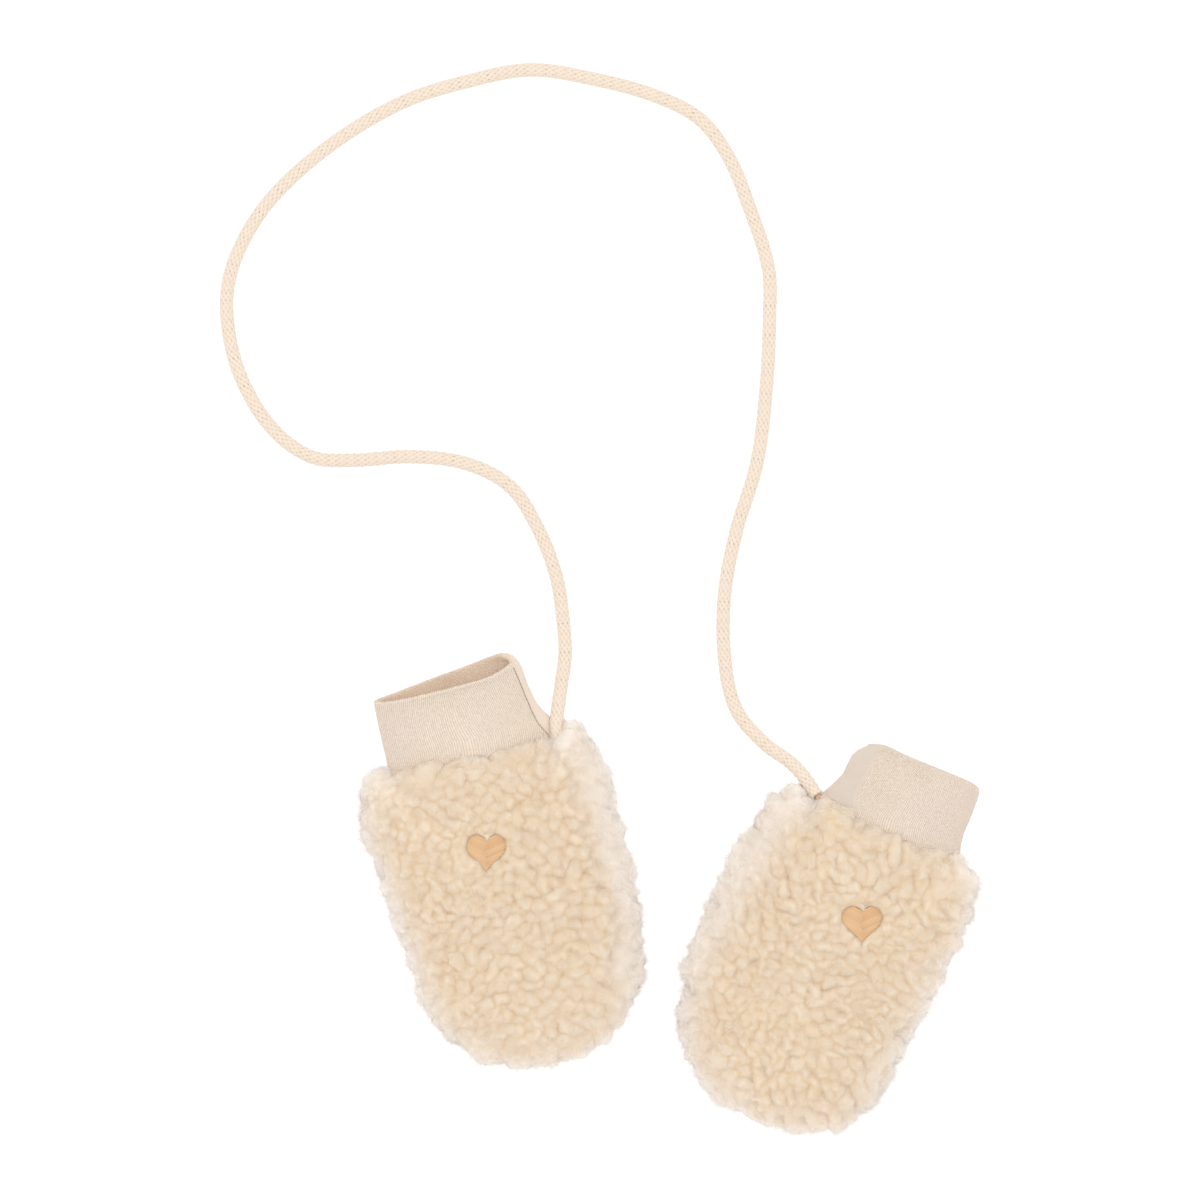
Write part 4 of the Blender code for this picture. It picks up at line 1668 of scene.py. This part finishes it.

# %% [markdown]
# ## The finish of the pile
#
# The locks are cream, with their crowns painted paler as painted light and a warm tan painted
# into the creases as painted shade. At the sides, where the pile is seen along its length,
# painted light makes it paler and a little pinker, palest at the rim, and a crease there is
# painted a bright, warm cream that takes out its shade. The dip round the heart gets a warm
# golden painted shade. The fibres show as fine streaks that follow each lock's bend.

# %% The pile's colours
# The plain and pale creams are the cloth's own; the crease and dip colours are painted shade, and
# the side and rim colours are painted light.
PILE_COLOUR = (0.824, 0.666, 0.483)
PILE_PALE_COLOUR = (0.853, 0.746, 0.619)
PILE_CREASE_SHADE_COLOUR = (0.80, 0.59, 0.31)
PILE_SIDE_LIGHT_COLOUR = (0.88, 0.80, 0.73)
PILE_SIDE_CREASE_LIGHT_COLOUR = (0.98, 0.87, 0.77)
PILE_RIM_LIGHT_COLOUR = (0.90, 0.845, 0.79)
PILE_DIP_SHADE_COLOUR = (0.90, 0.70, 0.46)
FIBRE_COLOUR = (0.962, 0.862, 0.741)
FIBRE_SIDE_LIGHT_COLOUR = (0.965, 0.905, 0.85)
FIBRE_RIM_LIGHT_COLOUR = (0.98, 0.945, 0.915)
GROUND_COLOURS = (0.70, 0.58, 0.45), (0.80, 0.69, 0.56)
PATCH_SCALE = 70
BROKEN_SCALE = 150
HAIR_SCALE = 1800


def fibre_streaks(finish):
    """Noise drawn out along each lock's own bend, different on every lock."""
    place = {
        "X": finish.stored("streak") * 2.6,
        "Y": finish.stored("run") * 0.35,
        "Z": finish.stored("lock") * 40.0,
    }
    return finish.noise(1.0, 3, finish.node("ShaderNodeCombineXYZ", {}, place))


print("creases are", PILE_CREASE_SHADE_COLOUR, "and tops", PILE_PALE_COLOUR)

# %% Pile and fibres
def pile_finish(name, on_locks):
    """The pile's look from what was stored on its points, for its locks or for loose fibres."""
    finish = Finish(name, 0.95, sheen=0.6 if on_locks else 0.2, subsurface=1.0 if on_locks else 0.0)
    patches = finish.ramp(finish.noise(PATCH_SCALE, 3), 0.3, 0.75)
    # Painted light on the lock crowns, mixed with slow patches and each lock's own tone.
    tops = (1 - finish.stored("low")) * 0.25 + patches * 0.35 + finish.stored("lock") * 0.25
    tone = finish.blend(tops, PILE_COLOUR, PILE_PALE_COLOUR)
    if not on_locks:
        tone = finish.blend(0.5, tone, FIBRE_COLOUR)
    # Painted light: paler, pinker colour at the sides, palest at the rim.
    painted_edge_light = finish.stored("painted_edge_light") * (patches * 0.5 + 0.75)
    edge = finish.ramp(painted_edge_light + finish.stored("beyond") * 0.3, 0.05, 0.55)
    tone = finish.blend(edge * 0.85, tone, PILE_SIDE_LIGHT_COLOUR if on_locks else FIBRE_SIDE_LIGHT_COLOUR)
    rim = finish.ramp(finish.stored("painted_edge_light"), 0.45, 1.0)
    tone = finish.blend(rim * 0.9, tone, PILE_RIM_LIGHT_COLOUR if on_locks else FIBRE_RIM_LIGHT_COLOUR)
    crease = finish.stored("crease")
    broken = finish.ramp(finish.noise(BROKEN_SCALE, 2), 0.35, 0.65)
    # Painted shade: tan in the creases between locks, broken up by noise and fainter at the sides.
    depth = crease * (broken * 0.85 + 0.05) * (1 - edge * 0.85)
    tone = finish.blend(depth, tone, PILE_CREASE_SHADE_COLOUR)
    # Painted light: creases at the sides are lifted to a bright, warm cream that takes out their
    # shade.
    tone = finish.blend(crease * edge * 0.7, tone, PILE_SIDE_CREASE_LIGHT_COLOUR)
    if on_locks:
        # Painted shade: a warm golden tint in the dip round the heart.
        tone = finish.blend(finish.stored("dip"), tone, PILE_DIP_SHADE_COLOUR)
        streaks = fibre_streaks(finish)
        tone = finish.blend(finish.ramp(streaks, 0.35, 0.75) * 0.25, tone, PILE_PALE_COLOUR)
        finish.relief(streaks * 0.6 + finish.noise(HAIR_SCALE, 3) * 0.5, 0.2 * MM)
    finish.colour(tone)
    return finish


pile_look = pile_finish("curly_pile", True)
fibre_look = pile_finish("loose_fibre", False)
for key in piles:
    dress(piles[key], pile_look)
    dress(fibres[key], fibre_look)
print("nodes in the pile's material:", len(pile_look.tree.nodes))

# %% Ground
ground_look = Finish("knitted_ground", 0.9, sheen=0.1)
ground_look.colour(ground_look.blend(ground_look.noise(900, 2), *GROUND_COLOURS))
ground_look.relief(ground_look.noise(1500, 2), 0.3 * MM)
for ground in grounds.values():
    dress(ground, ground_look)
print("ground panels:", len(grounds))

# %% [markdown]
# ## The finish of the cuffs
#
# Fine jersey: columns of small V-shaped stitches that run up the cuff. The grid's UV map runs
# round and along the wall, so two waves on it, with the rows shifted by half a stitch from one
# side of a column to the other, give the V shape. The pits between stitches get painted shade,
# as do the rounded sides and the smooth strip where the cuff rolls away past its seam. The inside
# is painted in shade and a bit pinker.

# %% The jersey's colours
WALES_AROUND = 160
COURSE_PITCH = 0.62
SEAM_LINE_WIDTH = 0.15
SEAM_LINE_TOP = (39.5, 40.5)
JERSEY_GOLD = (1.0, 0.88, 0.73)
JERSEY_ROSE = (1.0, 0.88, 0.78)
JERSEY_UNEVEN_AND_PIT_SHADE = (0.68, 0.52, 0.40)
JERSEY_INSIDE = (0.82, 0.62, 0.47)
JERSEY_TURNED_SHADE = (0.74, 0.60, 0.50)
JERSEY_SEAM = (0.30, 0.18, 0.11)
JERSEY_ROLLED_SIDE_SHADES = {"left": (0.80, 0.675, 0.57), "right": (0.62, 0.54, 0.47)}


def seam_line(finish, past):
    """The dark, broken line of the side seam, on the outside only."""
    line = 1 - finish.ramp(finish.size_of(past), SEAM_LINE_WIDTH * 0.4, SEAM_LINE_WIDTH * 1.4)
    dashes = finish.ramp(finish.wave(finish.stored("up") * 0.55), 0.1, 0.4)
    shown = (1 - finish.stored("inside")) * (1 - finish.ramp(finish.stored("up"), *SEAM_LINE_TOP))
    return line * (dashes * 0.5 + 0.5) * shown


print("stitches are", COURSE_PITCH, "mm high")

# %% Jersey
def jersey_finish(name, strip, seam_strength):
    """The knit of a cuff, with painted shade on the smooth strip where it rolls away past its side
    seam.
    """
    finish = Finish(name, 0.88, sheen=0.3, subsurface=0.15)
    place = finish.node("ShaderNodeUVMap", {"uv_map": "cloth"})
    wale = finish.wave(finish.node("ShaderNodeSeparateXYZ", {}, {0: place}) * WALES_AROUND)
    course = finish.wave(finish.stored("up") * (1 / COURSE_PITCH) + wale * 0.5)
    past = finish.stored("past_seam")
    smooth = finish.ramp(past, -0.5, 1.5)
    stitch = (wale * 0.7 + course * 0.3) * (1 - smooth * 0.75)
    tone = finish.blend(finish.ramp(finish.noise(45, 2), 0.35, 0.65), JERSEY_ROSE, JERSEY_GOLD)
    uneven = finish.ramp(finish.noise(1100, 1), 0.4, 0.65)
    tone = finish.blend(uneven * (1 - smooth) * 0.3, tone, JERSEY_UNEVEN_AND_PIT_SHADE)
    # Painted shade on the smooth strip where the cuff rolls away past its seam.
    tone = finish.blend(smooth * 0.8, tone, strip)
    # Painted shade on the cuff's rounded sides, where it turns away.
    tone = finish.blend(finish.stored("turned") * 0.3, tone, JERSEY_TURNED_SHADE)
    # Painted shade in the pits between the stitches.
    pits = (1 - finish.ramp(stitch, 0.15, 0.75)) * (1 - smooth)
    tone = finish.blend(pits * 0.75, tone, JERSEY_UNEVEN_AND_PIT_SHADE)
    tone = finish.blend(finish.stored("inside") * 0.8, tone, JERSEY_INSIDE)
    line = seam_line(finish, past) * seam_strength
    finish.colour(finish.blend(line, tone, JERSEY_SEAM))
    finish.relief(stitch + finish.noise(3000, 1) * 0.25 - line * 2, 0.3 * MM)
    return finish


dress(cuffs["left"], jersey_finish("jersey_with_seam", JERSEY_ROLLED_SIDE_SHADES["left"], 0.7))
dress(cuffs["right"], jersey_finish("jersey", JERSEY_ROLLED_SIDE_SHADES["right"], 0.0))
print("columns of stitches round a cuff:", WALES_AROUND)

# %% [markdown]
# ## The finish of the cord and the threads
#
# The cord is undyed cotton, a little more peach than the pile, with painted shade where one yarn
# dives under the next. The heart's thread is apricot rayon with a soft shine and painted shade on
# each thread's flanks.

# %% Cotton
COTTON_COLOUR = (0.89, 0.76, 0.635)
COTTON_PALE_COLOUR = (0.90, 0.79, 0.68)
COTTON_GAP_SHADE_COLOUR = (0.56, 0.36, 0.17)

cotton_look = Finish("braided_cotton", 0.85, sheen=0.15, subsurface=0.1)
# Painted shade in the gaps where one yarn dives under the next, from how high the top yarn stands.
yarn = cotton_look.ramp(cotton_look.stored("depth"), 0.15, 0.72)
cotton = cotton_look.blend(yarn, COTTON_GAP_SHADE_COLOUR, COTTON_COLOUR)
cotton = cotton_look.blend(cotton_look.noise(1400, 2) * 0.4, cotton, COTTON_PALE_COLOUR)
cotton_look.colour(cotton)
cotton_look.relief(cotton_look.noise(2400, 2), 0.2 * MM)
dress(cord, cotton_look)
print("the cord is dressed in", cotton_look.material.name)

# %% Rayon and sewing thread
RAYON_COLOURS = (0.80, 0.50, 0.26), (0.88, 0.62, 0.36)
RAYON_EDGE_SHADE_COLOUR = (0.55, 0.29, 0.12)
SEWING_THREAD_COLOURS = (0.58, 0.37, 0.27), (0.72, 0.52, 0.41)
TWIST_SCALE = 3500
TWIST_DEPTH = 0.08 * MM

rayon_look = Finish("apricot_rayon", 0.42, sheen=0.1, specular=0.5)
rayon = rayon_look.blend(rayon_look.stored("shade"), *RAYON_COLOURS)
# Painted shade on each thread's flanks, where it meets the next.
edges = rayon_look.ramp(rayon_look.stored("edge"), 0.45, 0.85)
rayon_look.colour(rayon_look.blend(edges * 0.75, rayon, RAYON_EDGE_SHADE_COLOUR))
rayon_look.relief(rayon_look.noise(TWIST_SCALE, 1), TWIST_DEPTH)
for heart in hearts.values():
    dress(heart, rayon_look)

tack_look = Finish("brown_sewing_thread", 0.7)
tack_look.colour(tack_look.blend(tack_look.stored("shade"), *SEWING_THREAD_COLOURS))
tack_look.relief(tack_look.noise(TWIST_SCALE, 1), TWIST_DEPTH)
dress(tack, tack_look)
print("materials:", [material.name for material in bpy.data.materials])

# %% [markdown]
# ## What the cloth was cut to
#
# The area of each panel's flat cut is worked out from its outline, with the width that goes round
# the sides, but it is not kept. Nothing is worked out for the cuffs.

# %% How large a panel's flat cut is
SIDES_EXTRA = 1.08


def outline_area(line):
    """The area inside a closed line."""
    after = np.roll(line, -1, axis=0)
    return float(abs((line[:, 0] * after[:, 1] - line[:, 1] * after[:, 0]).sum()) / 2)


def declare_panel(mitten):
    """Works out the area of a panel's flat cut and doesn't keep it."""
    outline_area(mitten.rim[:, :2]) * MM * MM * SIDES_EXTRA


for mitten in MITTENS:
    for upper in LAYERS:
        declare_panel(mitten)
